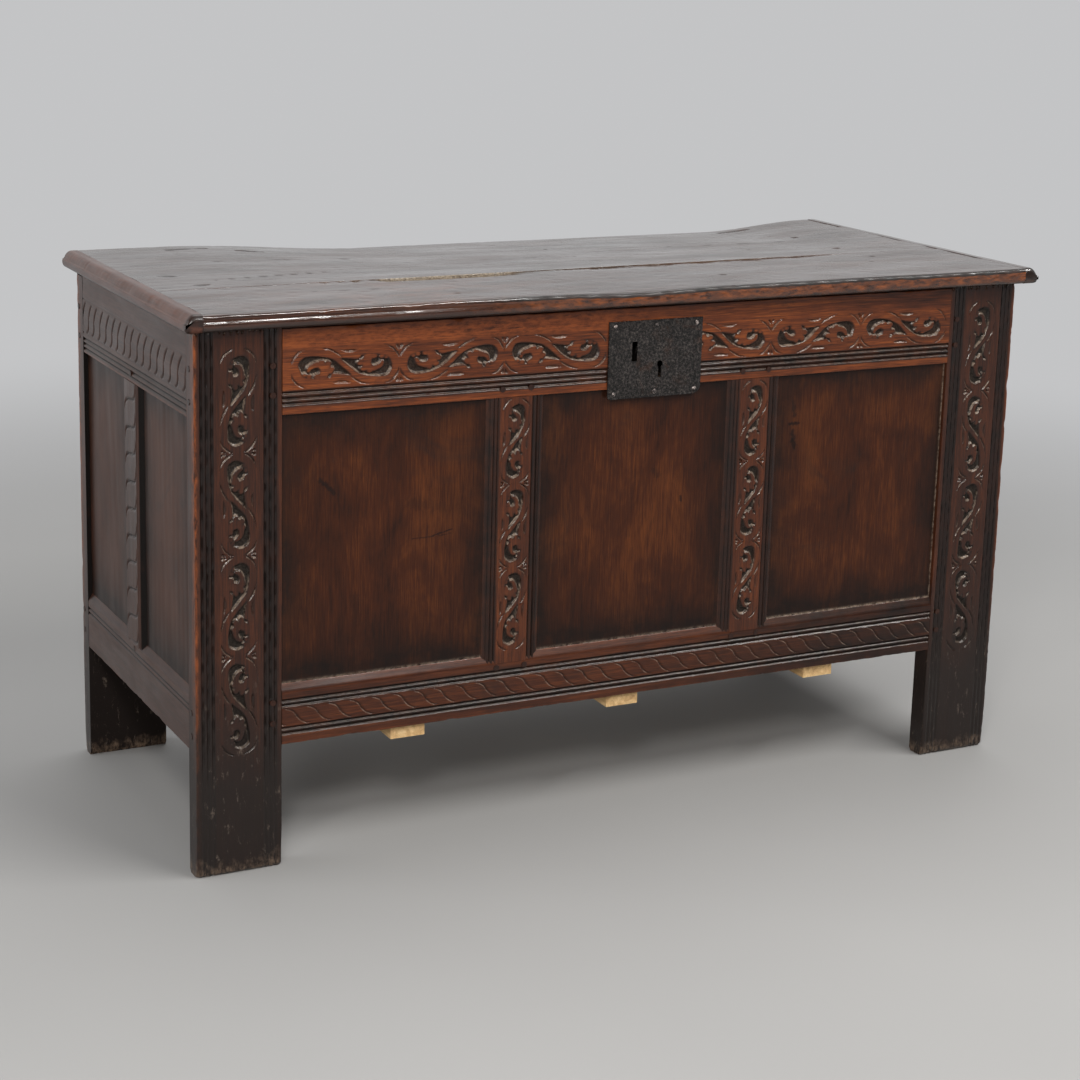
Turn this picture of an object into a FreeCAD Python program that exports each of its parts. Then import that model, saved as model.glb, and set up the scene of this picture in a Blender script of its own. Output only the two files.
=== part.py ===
import FreeCAD, Part
import os
import re
import Sketcher

# A joined oak coffer: a case of four panelled frames held by pegged mortise and
# tenon joints, a boarded floor on battens, and a two-plank lid on strap hinges.
# Frame: +X to the right, +Y to the back, +Z up, origin on the ground at the
# centre of the whole chest.  All sizes are millimetres.

SIZES = [
    # The case
    ("body_length", 1200, "outer face of one end to the outer face of the other"),
    ("body_depth", 503, "front face to back face"),
    ("stile_height", 686, "corner posts, which run down to the ground as feet"),
    ("stile_width", 110, "seen from the front"),
    ("stile_thickness", 29, "front to back"),
    ("stile_top_radius", 6, "worn outer top corner"),
    ("foot_height", 160, "ground to the underside of the bottom rails"),
    ("rail_thickness", 26, "rails and muntins"),
    ("rail_drop", 3, "top rails lie this far below the stile tops"),
    ("top_rail_height", 106, "top rails"),
    ("bottom_rail_height", 77.5, "bottom rails, over the chamfer"),
    ("rail_chamfer", 10, "height of the sloping top edge of the bottom rails"),
    ("muntin_width", 81, "front and back muntins"),
    ("end_muntin_width", 76, "muntins of the two ends"),
    ("muntin_chamfer", 9, "width of a muntin's sloping edge"),
    # Run mouldings, scratched along the faces
    ("reed_width", 3, "one scratched line"),
    ("reed_depth", 1.4, "one scratched line"),
    ("reed_pitch", 6.6, "between lines of one band"),
    ("stile_reed_margin", 8.5, "stile edge to the first line"),
    ("rail_reed_margin", 13, "lower edge of a top rail to the first line"),
    ("bottom_reed_margin", 14, "lower edge of a bottom rail to the first line"),
    ("arris_reed_margin", 11, "chamfer of a bottom rail to the first line below it"),
    ("muntin_reed_margin", 12.5, "muntin edge to its line"),
    # Panels in their grooves
    ("panel_recess", 6, "frame face to panel face"),
    ("panel_edge", 6, "thickness of the panel's tongue"),
    ("panel_swell", 4, "how much thicker the middle of a panel is, at the back"),
    ("panel_flat", 10, "panel edge to the foot of the bevel at the back"),
    ("panel_bevel", 22, "width of the bevel at the back"),
    ("panel_play", 1.5, "room for the panel to swell in its groove"),
    ("groove_depth", 8, "panel grooves"),
    ("joint_gap", 0.1, "around tenons and panel tongues"),
    # Tenons and mortises
    ("tenon_setback", 9, "frame face to tenon"),
    ("tenon_thickness", 8, "all tenons"),
    ("tenon_length", 35, "front and back rails into the stiles"),
    ("end_tenon_length", 18, "end rails into the stiles"),
    ("muntin_tenon_length", 22, "muntins into the rails"),
    ("inner_shoulder", 14, "panel side of a rail to its tenon"),
    ("outer_shoulder", 9, "outer side of a rail to its tenon"),
    ("muntin_shoulder", 10, "side of a muntin to its tenon"),
    ("mortise_play", 1, "room beyond the end of a tenon"),
    # Pegs, split and pared to eight faces
    ("peg_radius", 4, "over the corners"),
    ("peg_clearance", 0.05, "between a peg and its hole"),
    ("peg_length", 22, "all pegs"),
    ("peg_proud", 0.6, "how far a peg's head stands out"),
    ("peg_margin", 12, "shoulder of a front or back rail to its pegs"),
    ("end_peg_margin", 9, "shoulder of an end rail to its pegs"),
    ("peg_rise", 25, "lower edge of a front or back top rail to its lower peg"),
    ("peg_spacing", 36, "between the two pegs there"),
    ("bottom_peg_rise", 29, "lower edge of a front or back bottom rail to its lower peg"),
    ("bottom_peg_spacing", 27, "between the two pegs there"),
    ("end_peg_rise", 20, "lower edge of an end's rail to its lower peg"),
    ("end_peg_spacing", 40, "between the two pegs of an end's top rail"),
    ("end_bottom_peg_spacing", 30, "between the two pegs of an end's bottom rail"),
    ("muntin_peg_offset", 20, "centre line of a front muntin to its pegs"),
    ("muntin_peg_rise", 11, "shoulder of a muntin to its pegs"),
    # Floor
    ("floor_thickness", 12, "floor boards"),
    ("floor_play", 1, "around and between the floor boards"),
    ("batten_width", 47, "softwood battens under the floor"),
    ("batten_thickness", 17, "softwood battens under the floor"),
    ("batten_pitch", 312, "between battens"),
    ("batten_shift", 5, "how far the middle batten lies left of the middle"),
    ("batten_setback", 8, "front face of the case to the end of a batten"),
    ("batten_nail_inset", 10, "end of a batten to its nail"),
    # Nails, hand made with square shanks
    ("nail_shank", 3, "square shank"),
    ("nail_head", 8, "square head"),
    ("nail_head_height", 2, "all heads"),
    ("nail_point", 0.3, "top of a head, as a share of its base"),
    ("nail_clearance", 0.05, "between a shank and its hole"),
    ("floor_nail_length", 26, "floor and batten nails"),
    ("plate_nail_length", 16, "lock plate nails"),
    ("cover_nail_length", 12, "lock cover nails"),
    ("hinge_nail_length", 12, "hinge nails"),
    # Lid
    ("lid_thickness", 22, "planks and end strips"),
    ("lid_gap", 0.5, "stile tops to the underside of the lid"),
    ("lid_front_overhang", 25, "beyond the front face"),
    ("lid_back_overhang", 15, "beyond the back face"),
    ("lid_end_overhang", 18, "beyond each end face"),
    ("strip_width", 22, "moulded strip across each end of the lid"),
    ("strip_top_radius", 13, "nose of a strip, above"),
    ("strip_bottom_radius", 5, "nose of a strip, below"),
    ("front_plank_width", 179, "front plank at its left end, with its nose"),
    ("seam_slant", 23, "how much wider the front plank is at its right end"),
    ("nose_top_radius", 9, "nose of the front plank, above"),
    ("nose_bottom_radius", 7, "nose of the front plank, below"),
    ("plank_gap", 1, "open joint between the planks"),
    ("tongue_length", 8, "plank ends into the strips"),
    ("tongue_thickness", 8, "plank ends into the strips"),
    ("tongue_inset", 12, "outer edge of the lid to the tongue"),
    ("dip_depth", 15, "how much thinner the back plank is along its back edge"),
    ("dip_left_start", 140, "left end of the case to where the thinning begins"),
    ("dip_left_end", 430, "left end of the case to where it is complete"),
    ("dip_right_end", 200, "right end of the case to where it is complete"),
    ("dowel_radius", 4.5, "dowels between the planks, over the corners"),
    ("dowel_length", 60, "dowels between the planks"),
    ("dowel_pitch", 280, "between dowels"),
    # Hinges
    ("hinge_inset", 170, "end face of the case to the middle of a hinge"),
    ("hinge_plate", 2.2, "leaf and strap"),
    ("barrel_radius", 5, "knuckles"),
    ("barrel_length", 60, "all knuckles of one hinge"),
    ("knuckle_length", 18, "each outer knuckle"),
    ("knuckle_gap", 0.5, "between knuckles"),
    ("barrel_drop", 0.4, "lid to the top of the knuckles"),
    ("barrel_standoff", 0.3, "back face to the knuckles"),
    ("pin_radius", 2.5, "hinge pins"),
    ("pin_clearance", 0.05, "between a pin and its knuckles"),
    ("pin_overhang", 1.5, "how far a pin stands out of its knuckles"),
    ("leaf_height", 55, "leaf on the back rail"),
    ("leaf_nail_inset", 9, "edge of a leaf to its nails"),
    ("strap_length", 210, "strap under the lid"),
    ("strap_width", 34, "strap at the barrel"),
    ("strap_tip_width", 18, "strap at its far end"),
    ("strap_point", 12, "length of the pointed tip"),
    ("strap_neck", 8, "length of the narrow neck at the barrel"),
    ("strap_nail_start", 65, "barrel to the first strap nail"),
    ("strap_nail_pitch", 50, "between strap nails"),
    # Lock
    ("lock_offset", 21, "middle of the case to the middle of the lock plate"),
    ("plate_width", 138, "lock plate"),
    ("plate_height", 101, "lock plate"),
    ("plate_thickness", 2, "lock plate"),
    ("plate_drop", 18, "top of the front rail to the top of the plate"),
    ("plate_left_radius", 5, "lower left corner"),
    ("plate_right_radius", 12, "lower right corner"),
    ("slot_left", 34, "left edge of the plate to the slot"),
    ("slot_drop", 27, "top of the plate to the slot"),
    ("slot_width", 8, "slot for the hasp's staple"),
    ("slot_height", 26, "slot for the hasp's staple"),
    ("keyhole_left", 76, "left edge of the plate to the keyhole's middle"),
    ("keyhole_drop", 58, "top of the plate to the round of the keyhole"),
    ("keyhole_radius", 4.2, "round of the keyhole"),
    ("keyhole_slit", 5, "width of the slit"),
    ("keyhole_height", 18, "middle of the round to the foot of the slit"),
    ("plate_nail_side", 9, "side of the plate to its nails"),
    ("plate_nail_top", 7, "top and foot of the plate to its nails"),
    ("works_side", 14, "side of the plate to the mortise for the works"),
    ("works_drop", 13, "top of the plate to that mortise"),
    ("works_height", 63.5, "height of that mortise"),
    ("bolt_length", 74, "lock bolt"),
    ("bolt_height", 9, "lock bolt"),
    ("bolt_thickness", 5, "lock bolt"),
    ("bolt_setback", 4, "back of the plate to the bolt"),
    ("bolt_clear_slot", 3, "slot to the end of the drawn bolt"),
    ("bolt_clearance", 0.3, "around the bolt in its guides"),
    ("talon_width", 10, "notch that the key lifts and throws"),
    ("talon_depth", 3, "notch that the key lifts and throws"),
    ("guide_width", 8, "guides of the bolt"),
    ("guide_metal", 2.5, "guides of the bolt"),
    ("catch_guide", 24, "left edge of the plate to the middle of the first guide"),
    ("front_guide", 56, "left edge of the plate to the middle of the second guide"),
    ("rear_guide", 97, "left edge of the plate to the middle of the third guide"),
    ("spring_metal", 1.2, "leaf spring on top of the bolt"),
    ("spring_foot", 6, "foot of the spring, square"),
    ("spring_rise", 15, "bolt to the top of the spring's foot"),
    ("spring_reach", 26, "guide side of the foot to the tip of the leaf"),
    ("spring_width", 6, "front to back"),
    ("cover_thickness", 2, "iron cover over the works, inside the chest"),
    ("cover_lap", 9, "how far the cover laps over the wood"),
]

# Sizes that follow from the ones above, written once and used by name.
RULES = {
    "case_left": "0 - body_length / 2",
    "case_front": "(lid_front_overhang - body_depth - lid_back_overhang) / 2",
    "case_back": "case_front + body_depth",
    "rail_top": "stile_height - rail_drop",
    "opening_high": "rail_top - top_rail_height",
    "opening_low": "foot_height + bottom_rail_height",
    "groove_width": "panel_edge + joint_gap",
    "tenon_back": "tenon_setback + tenon_thickness",
    "front_span": "body_length - 2 * stile_width",
    "end_span": "body_depth - 2 * stile_thickness",
    "floor_length": "body_length - 2 * rail_thickness - 2 * floor_play",
    "floor_pitch": "(end_span - floor_play) / 3",
    "floor_board_width": "floor_pitch - floor_play",
    "batten_length": "body_depth - 2 * batten_setback",
    "lid_under": "stile_height + lid_gap",
    "lid_length": "body_length + 2 * lid_end_overhang",
    "lid_depth": "body_depth + lid_front_overhang + lid_back_overhang",
    "plank_right": "lid_length - strip_width",
    "seam_slope": "seam_slant / (plank_right - strip_width)",
    "tongue_low": "(lid_thickness - tongue_thickness) / 2",
    "barrel_reach": "barrel_standoff + barrel_radius",
    "strap_knuckle": "barrel_length - 2 * knuckle_length - 2 * knuckle_gap",
    "strap_top": "barrel_radius + barrel_drop",
    "plate_left": "body_length / 2 + lock_offset - plate_width / 2",
    "plate_top": "rail_top - plate_drop",
    "plate_foot": "plate_top - plate_height",
    "slot_middle": "plate_top - slot_drop - slot_height / 2",
    "bolt_left": "plate_left + slot_left + slot_width + bolt_clear_slot",
    "bolt_top": "slot_middle + bolt_height / 2",
    "bolt_foot": "slot_middle - bolt_height / 2",
    "works_left": "plate_left + works_side",
    "works_width": "plate_width - 2 * works_side",
    "works_foot": "plate_top - works_drop - works_height",
}

X_AXIS = FreeCAD.Vector(1, 0, 0)
Y_AXIS = FreeCAD.Vector(0, 1, 0)
Z_AXIS = FreeCAD.Vector(0, 0, 1)
CUT_PAST = 2  # how far a cutting shape runs past the face that it opens
PEG_DRILL = f"peg_length - peg_proud + mortise_play + {CUT_PAST}"

doc = FreeCAD.newDocument("coffer")
sheet = doc.addObject("Spreadsheet::Sheet", "Sizes")
for row, (alias, size, note) in enumerate(SIZES, start=1):
    sheet.set(f"A{row}", alias)
    sheet.set(f"B{row}", str(size))
    sheet.set(f"C{row}", note)
    sheet.setAlias(f"B{row}", alias)
doc.recompute()

nodes = []


# ---------------------------------------------------------------- small tools

def bound(text):
    """Turn a rule into an expression on the sheet's cells."""
    def cell(match):
        word = match.group(0)
        return f"({bound(RULES[word])})" if word in RULES else f"Sizes.{word}"
    return re.sub(r"[a-z][a-z_]+", cell, str(text))


def value(text):
    """The present value of a rule, in millimetres."""
    return float(sheet.evalExpression(bound(text)))


def bind(feature, **rules):
    """Tie properties of a feature to rules."""
    for name, rule in rules.items():
        feature.setExpression(name, bound(rule))


def put(feature, point, rotation=FreeCAD.Rotation()):
    """Place a feature or a body at a point given by three rules."""
    feature.Placement = FreeCAD.Placement(FreeCAD.Vector(), rotation)
    for axis, rule in zip("xyz", point):
        feature.setExpression(f"Placement.Base.{axis}", bound(rule))


def new_body(label, point=(0, 0, 0), turn=0):
    """A body whose label names its node, placed by three rules and a turn about Z."""
    body = doc.addObject("PartDesign::Body", label)
    body.Label = label
    body.AllowCompound = True
    put(body, point, FreeCAD.Rotation(Z_AXIS, turn))
    nodes.append(body)
    return body


def block(body, kind, low, high):
    """Add or cut a block between two corners given by rules."""
    feature = body.newObject(f"PartDesign::{kind}Box", "Block")
    put(feature, low)
    for side, start, end in zip(("Length", "Width", "Height"), low, high):
        feature.setExpression(side, bound(f"({end}) - ({start})"))
    return feature


def outline(body, plane, points, offset=0):
    """A closed sketch on one of the body's own planes, each corner given by two rules."""
    support = next(item for item in body.Origin.OriginFeatures if item.Role == plane)
    sketch = body.newObject("Sketcher::SketchObject", "Outline")
    sketch.AttachmentSupport = [(support, "")]
    sketch.MapMode = "FlatFace"
    sketch.setExpression("AttachmentOffset.Base.z", bound(offset))
    corners = [FreeCAD.Vector(value(x), value(y), 0) for x, y in points]
    count = len(corners)
    for index in range(count):
        sketch.addGeometry(Part.LineSegment(corners[index], corners[(index + 1) % count]), False)
    for index in range(count):
        sketch.addConstraint(Sketcher.Constraint("Coincident", index, 2, (index + 1) % count, 1))
    for index, rules in enumerate(points):
        for kind, rule, here in zip(("DistanceX", "DistanceY"), rules, corners[index]):
            number = sketch.addConstraint(Sketcher.Constraint(kind, -1, 1, index, 1, here))
            sketch.setExpression(f"Constraints[{number}]", bound(rule))
    return sketch


def extrude(body, kind, plane, points, length, offset=0, reverse=False):
    """Pad or pocket an outline."""
    feature = body.newObject(f"PartDesign::{kind}", kind)
    feature.Profile = outline(body, plane, points, offset)
    feature.Reversed = reverse
    bind(feature, Length=length)
    return feature


def rod(body, kind, shape, start, direction, radius, length):
    """Add or cut a round or eight-sided rod that starts at a point and runs in a direction."""
    feature = body.newObject(f"PartDesign::{kind}{shape}", "Rod")
    put(feature, start, FreeCAD.Rotation(Z_AXIS, direction))
    if shape == "Prism":
        feature.Polygon = 8
        bind(feature, Circumradius=radius, Height=length)
    else:
        bind(feature, Radius=radius, Height=length)
    return feature


def spike(body, kind, point, direction, near, far, start, end):
    """A square taper along a direction: half widths near and far, between start and end."""
    feature = body.newObject(f"PartDesign::{kind}Wedge", "Spike")
    put(feature, point, FreeCAD.Rotation(Y_AXIS, direction))
    bind(feature, Ymin=start, Ymax=end, Xmin=f"0 - ({near})", Xmax=near, Zmin=f"0 - ({near})",
         Zmax=near, X2min=f"0 - ({far})", X2max=far, Z2min=f"0 - ({far})", Z2max=far)
    return feature


def nail(body, point, direction, length):
    """A square nail whose head seats at a point and whose shank is driven in a direction."""
    top = "nail_head / 2 * nail_point"
    spike(body, "Additive", point, direction, top, "nail_head / 2", "0 - nail_head_height", 0)
    spike(body, "Additive", point, direction, "nail_shank / 2", "nail_shank / 2", 0, length)


def nail_hole(body, point, direction, length):
    """The hole for such a nail, run past the face where it starts."""
    half = "nail_shank / 2 + nail_clearance"
    spike(body, "Subtractive", point, direction, half, half, f"0 - {CUT_PAST}", f"{length} + 1")


def edges_of(feature, wanted):
    """Names of the edges whose middle passes a test."""
    names = []
    for number, edge in enumerate(feature.Shape.Edges, start=1):
        if wanted(edge.BoundBox.Center):
            names.append(f"Edge{number}")
    return names


def round_edges(body, base, radius, wanted):
    """Round the edges of a feature whose middle passes a test."""
    doc.recompute()
    fillet = body.newObject("PartDesign::Fillet", "Fillet")
    fillet.Base = (base, edges_of(base, wanted))
    bind(fillet, Radius=radius)
    return fillet


def near(first, second):
    """True where two lengths agree to a hundredth of a millimetre."""
    return abs(first - second) < 0.01


def reeds(marks, across, face=0, step=1):
    """Corner points of scratched lines at marks along a face, in drawing order."""
    points = []
    for mark in marks:
        for along, deep in ((f"{mark} - {step} * reed_width / 2", face),
                            (mark, f"{face} + reed_depth"),
                            (f"{mark} + {step} * reed_width / 2", face)):
            points.append((along, deep) if across == "width" else (deep, along))
    return points


# ------------------------------------------------------- the four sides of the case

class Side:
    """One panelled frame, seen from outside: x runs to the right, y into the chest."""

    def __init__(self, name, corner, turn, edge, span, muntin, panels, tenon, margin, heights,
                 carved):
        self.name = name            # prefix of its node names
        self.corner = corner        # outer lower left corner, as seen from outside
        self.turn = turn            # about Z
        self.edge = edge            # room taken by the stile on this side
        self.span = span            # rail length between the stiles
        self.muntin = muntin        # muntin width
        self.panels = panels        # panel names, left to right as seen from outside
        self.tenon = tenon          # rail tenon length
        self.margin = margin        # rail shoulder to its pegs
        self.heights = heights      # of the four pegs in a stile, from the ground up
        self.carved = carved        # whether its face is moulded
        gaps = len(panels)
        self.panel_width = f"(({span} - {gaps - 1} * {muntin}) / {gaps})"

    def body(self, label):
        return new_body(label, self.corner, self.turn)

    def muntin_left(self, index):
        """Left side of a muntin, counted from the left."""
        return f"({self.edge} + {index + 1} * {self.panel_width} + {index} * {self.muntin})"

    def muntin_pegs(self):
        """Peg places across a muntin, from its middle."""
        return ("0 - muntin_peg_offset", "muntin_peg_offset") if self.name == "front" else ("0",)

    def peg_places(self):
        """Every peg of this side as x and z rules."""
        places = []
        for x in (f"{self.edge} - {self.margin}", f"{self.edge} + {self.span} + {self.margin}"):
            places += [(x, height) for height in self.heights]
        for index in range(len(self.panels) - 1):
            for offset in self.muntin_pegs():
                x = f"{self.muntin_left(index)} + {self.muntin} / 2 + {offset}"
                places.append((x, "opening_high + muntin_peg_rise"))
                places.append((x, "opening_low - rail_chamfer - muntin_peg_rise / 2"))
        return places


def peg_hole(body, x, z):
    """A peg's hole, from the outer face of a side inwards."""
    rod(body, "Subtractive", "Prism", (x, f"0 - {CUT_PAST}", z), Y_AXIS,
        "peg_radius + peg_clearance", PEG_DRILL)


def stile(side, label, first, across):
    """A corner post: the first or second stile of a side, also mortised for the end there."""
    body = side.body(label)

    def width(rule):
        return rule if first else f"body_length - ({rule})"

    def cut(low, high):
        if first:
            block(body, "Subtractive", low, high)
        else:
            block(body, "Subtractive", (width(high[0]), low[1], low[2]),
                  (width(low[0]), high[1], high[2]))

    marks = []
    if side.carved:
        marks = [f"stile_reed_margin + {index} * reed_pitch" for index in range(3)]
        marks += [f"stile_width - stile_reed_margin - {index} * reed_pitch"
                  for index in reversed(range(3))]
    profile = [("0", "0")] + reeds(marks, "width")
    profile += [("stile_width", "0"), ("stile_width", "stile_thickness"), ("0", "stile_thickness")]
    post = extrude(body, "Pad", "XY_Plane", [(width(x), y) for x, y in profile], "stile_height")
    outer, top = value(width("0")), value("stile_height")
    round_edges(body, post, "stile_top_radius",
                lambda point: near(point.x, outer) and near(point.z, top))

    groove = ("opening_low - groove_depth", "opening_high + groove_depth")
    cut(("stile_width - groove_depth", "panel_recess", groove[0]),
        (f"stile_width + {CUT_PAST}", "panel_recess + groove_width", groove[1]))
    cut(("panel_recess", "stile_thickness - groove_depth", groove[0]),
        ("panel_recess + groove_width", f"stile_thickness + {CUT_PAST}", groove[1]))
    cheeks = ("tenon_setback - joint_gap", "tenon_back + joint_gap")
    rails = (("foot_height + outer_shoulder - joint_gap", "opening_low - inner_shoulder + joint_gap"),
             ("opening_high + inner_shoulder - joint_gap", "rail_top - outer_shoulder + joint_gap"))
    for low, high in rails:
        cut(("stile_width - tenon_length - mortise_play", cheeks[0], low),
            (f"stile_width + {CUT_PAST}", cheeks[1], high))
        cut((cheeks[0], "stile_thickness - end_tenon_length - mortise_play", low),
            (cheeks[1], f"stile_thickness + {CUT_PAST}", high))

    middle = value("body_length / 2")
    for x, z in side.peg_places():
        if abs(value(x) - outer) < value("stile_width") and (value(x) < middle) == first:
            peg_hole(body, x, z)
    for height in across.heights:
        rod(body, "Subtractive", "Prism",
            (width(f"0 - {CUT_PAST}"), f"stile_thickness - {across.margin}", height),
            X_AXIS if first else -X_AXIS, "peg_radius + peg_clearance", PEG_DRILL)
    return body


def rail_tenons(side, body, low, high):
    """A tenon at each end of a rail."""
    right = f"{side.edge} + {side.span}"
    for start, end in ((f"{side.edge} - {side.tenon}", side.edge), (right, f"{right} + {side.tenon}")):
        block(body, "Additive", (start, "tenon_setback", low), (end, "tenon_back", high))


def rail_holes(side, body, low, high, mortise_low, mortise_high):
    """Muntin mortises and every peg hole that falls within a rail's height."""
    for index in range(len(side.panels) - 1):
        left = f"{side.muntin_left(index)} + muntin_shoulder - joint_gap"
        right = f"{side.muntin_left(index)} + {side.muntin} - muntin_shoulder + joint_gap"
        block(body, "Subtractive", (left, "tenon_setback - joint_gap", mortise_low),
              (right, "tenon_back + joint_gap", mortise_high))
    for x, z in side.peg_places():
        if value(low) < value(z) < value(high):
            peg_hole(body, x, z)


def top_rail(side):
    """Top rail: three scratched lines above its lower edge, panel groove below."""
    body = side.body(f"{side.name}_top_rail")
    marks = []
    if side.carved:
        marks = [f"opening_high + rail_reed_margin + {index} * reed_pitch"
                 for index in reversed(range(3))]
    back = "panel_recess + groove_width"
    profile = [("0", "opening_high"), ("panel_recess", "opening_high"),
               ("panel_recess", "opening_high + groove_depth"),
               (back, "opening_high + groove_depth"), (back, "opening_high"),
               ("rail_thickness", "opening_high"), ("rail_thickness", "rail_top"),
               ("0", "rail_top")]
    profile += reeds(marks, "height", step=-1)
    extrude(body, "Pad", "YZ_Plane", profile, side.span, offset=side.edge)
    rail_tenons(side, body, "opening_high + inner_shoulder", "rail_top - outer_shoulder")
    rail_holes(side, body, "opening_high", "rail_top", f"opening_high - {CUT_PAST}",
               "opening_high + muntin_tenon_length + mortise_play")
    return body


def bottom_rail(side):
    """Bottom rail: sloping top edge down from the panels, scratched lines on its face."""
    body = side.body(f"{side.name}_bottom_rail")
    arris = "opening_low - rail_chamfer"
    marks = []
    if side.carved:
        marks = [f"{arris} - arris_reed_margin", f"{arris} - arris_reed_margin - reed_pitch",
                 "foot_height + bottom_reed_margin + reed_pitch",
                 "foot_height + bottom_reed_margin"]
    back = "panel_recess + groove_width"
    profile = [("0", "foot_height"), ("rail_thickness", "foot_height"),
               ("rail_thickness", "opening_low"), (back, "opening_low"),
               (back, "opening_low - groove_depth"),
               ("panel_recess", "opening_low - groove_depth"),
               ("panel_recess", "opening_low"), ("0", arris)]
    profile += reeds(marks, "height", step=-1)
    extrude(body, "Pad", "YZ_Plane", profile, side.span, offset=side.edge)
    rail_tenons(side, body, "foot_height + outer_shoulder", "opening_low - inner_shoulder")
    rail_holes(side, body, "foot_height", "opening_low",
               "opening_low - muntin_tenon_length - mortise_play", f"opening_low + {CUT_PAST}")
    return body


def muntin(side, index, label):
    """Muntin: sloping edges, a groove for a panel on each side, its foot scribed to the rail."""
    body = side.body(label)
    left = side.muntin_left(index)
    right = f"{left} + {side.muntin}"
    marks = []
    if side.carved:
        marks = [f"{left} + muntin_reed_margin", f"{right} - muntin_reed_margin"]
    back = "panel_recess + groove_width"
    profile = [(left, "panel_recess"), (f"{left} + muntin_chamfer", "0")]
    profile += reeds(marks, "width")
    profile += [(f"{right} - muntin_chamfer", "0"), (right, "panel_recess"),
                (f"{right} - groove_depth", "panel_recess"), (f"{right} - groove_depth", back),
                (right, back), (right, "rail_thickness"), (left, "rail_thickness"),
                (left, back), (f"{left} + groove_depth", back),
                (f"{left} + groove_depth", "panel_recess")]
    arris = "opening_low - rail_chamfer"
    extrude(body, "Pad", "XY_Plane", profile, f"opening_high - ({arris})", offset=arris)
    below = [("0", arris), ("panel_recess", "opening_low"),
             (f"rail_thickness + {CUT_PAST}", "opening_low"),
             (f"rail_thickness + {CUT_PAST}", f"{arris} - {CUT_PAST}"), ("0", f"{arris} - {CUT_PAST}")]
    extrude(body, "Pocket", "YZ_Plane", below, f"{side.muntin} + 2 * {CUT_PAST}",
            offset=f"{right} + {CUT_PAST}")
    for low, high in (("opening_low - muntin_tenon_length", "opening_low"),
                      ("opening_high", "opening_high + muntin_tenon_length")):
        block(body, "Additive", (f"{left} + muntin_shoulder", "tenon_setback", low),
              (f"{right} - muntin_shoulder", "tenon_back", high))
    for x, z in side.peg_places():
        if value(left) < value(x) < value(right):
            peg_hole(body, x, z)
    return body


def panel(side, index, label):
    """Panel: flat outside, bevelled inside, its edges loose in the grooves."""
    body = side.body(label)
    left = f"{side.edge} + {index} * ({side.panel_width} + {side.muntin}) - groove_depth + panel_play"
    width = f"{side.panel_width} + 2 * (groove_depth - panel_play)"
    low = "opening_low - groove_depth + panel_play"
    high = "opening_high + groove_depth - panel_play"
    block(body, "Additive", (left, "panel_recess", low),
          (f"{left} + {width}", "panel_recess + panel_edge", high))
    swell = body.newObject("PartDesign::AdditiveWedge", "Swell")
    put(swell, (left, "panel_recess", low))
    inner = "panel_flat + panel_bevel"
    bind(swell, Ymin="panel_edge", Ymax="panel_edge + panel_swell",
         Xmin="panel_flat", Xmax=f"{width} - panel_flat",
         Zmin="panel_flat", Zmax=f"{high} - ({low}) - panel_flat",
         X2min=inner, X2max=f"{width} - ({inner})",
         Z2min=inner, Z2max=f"{high} - ({low}) - ({inner})")
    return body


def pegs(side):
    """All the pegs of a side, each a solid of its own."""
    body = side.body(f"{side.name}_pegs")
    for x, z in side.peg_places():
        rod(body, "Additive", "Prism", (x, "0 - peg_proud", z), Y_AXIS, "peg_radius", "peg_length")
    return body


def framed(side, muntin_names):
    """Rails, muntins, panels and pegs of one side, by node name."""
    made = {}
    made["top_rail"] = top_rail(side)
    made["bottom_rail"] = bottom_rail(side)
    for index, name in enumerate(muntin_names):
        made[name] = muntin(side, index, f"{side.name}_{name}")
    for index, name in enumerate(side.panels):
        made[name] = panel(side, index, f"{side.name}_{name}_panel")
    made["pegs"] = pegs(side)
    return made


# ------------------------------------------------------------------ floor and lid

def floor(pieces):
    """Three long boards laid between the rails, on three battens nailed under the rails."""
    top = "foot_height + floor_thickness"
    board_left = "case_left + rail_thickness + floor_play"
    nails = new_body("floor_nails")
    boards = []
    for index, name in enumerate(("front", "middle", "back")):
        body = new_body(f"floor_{name}_board")
        low = f"case_front + stile_thickness + floor_play + {index} * floor_pitch"
        block(body, "Additive", (board_left, low, "foot_height"),
              (f"{board_left} + floor_length", f"{low} + floor_board_width", top))
        boards.append((body, f"{low} + floor_board_width / 2"))
    for index, name in enumerate(("left", "middle", "right")):
        body = new_body(f"floor_{name}_batten")
        middle = f"{index - 1} * batten_pitch - batten_shift"
        low = "case_front + batten_setback"
        block(body, "Additive", (f"{middle} - batten_width / 2", low, "foot_height - batten_thickness"),
              (f"{middle} + batten_width / 2", f"{low} + batten_length", "foot_height"))
        for board, place in boards:
            point = (middle, place, top)
            nail(nails, point, -Z_AXIS, "floor_nail_length")
            for piece in (board, body):
                nail_hole(piece, point, -Z_AXIS, "floor_nail_length")
        for rail, place in ((pieces["front"]["bottom_rail"], f"{low} + batten_nail_inset"),
                            (pieces["back"]["bottom_rail"],
                             f"{low} + batten_length - batten_nail_inset")):
            point = (middle, place, "foot_height - batten_thickness")
            nail(nails, point, Z_AXIS, "floor_nail_length")
            nail_hole(body, point, Z_AXIS, "floor_nail_length")
            side = FRONT if rail is pieces["front"]["bottom_rail"] else BACK
            nail_hole(rail, inside(side, point), Z_AXIS, "floor_nail_length")


def inside(side, point):
    """A point of the whole chest in the frame of its front or back."""
    x, y, z = point
    if side is FRONT:
        return (f"{x} - ({side.corner[0]})", f"{y} - ({side.corner[1]})", z)
    return (f"{side.corner[0]} - ({x})", f"{side.corner[1]} - ({y})", z)


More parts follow.
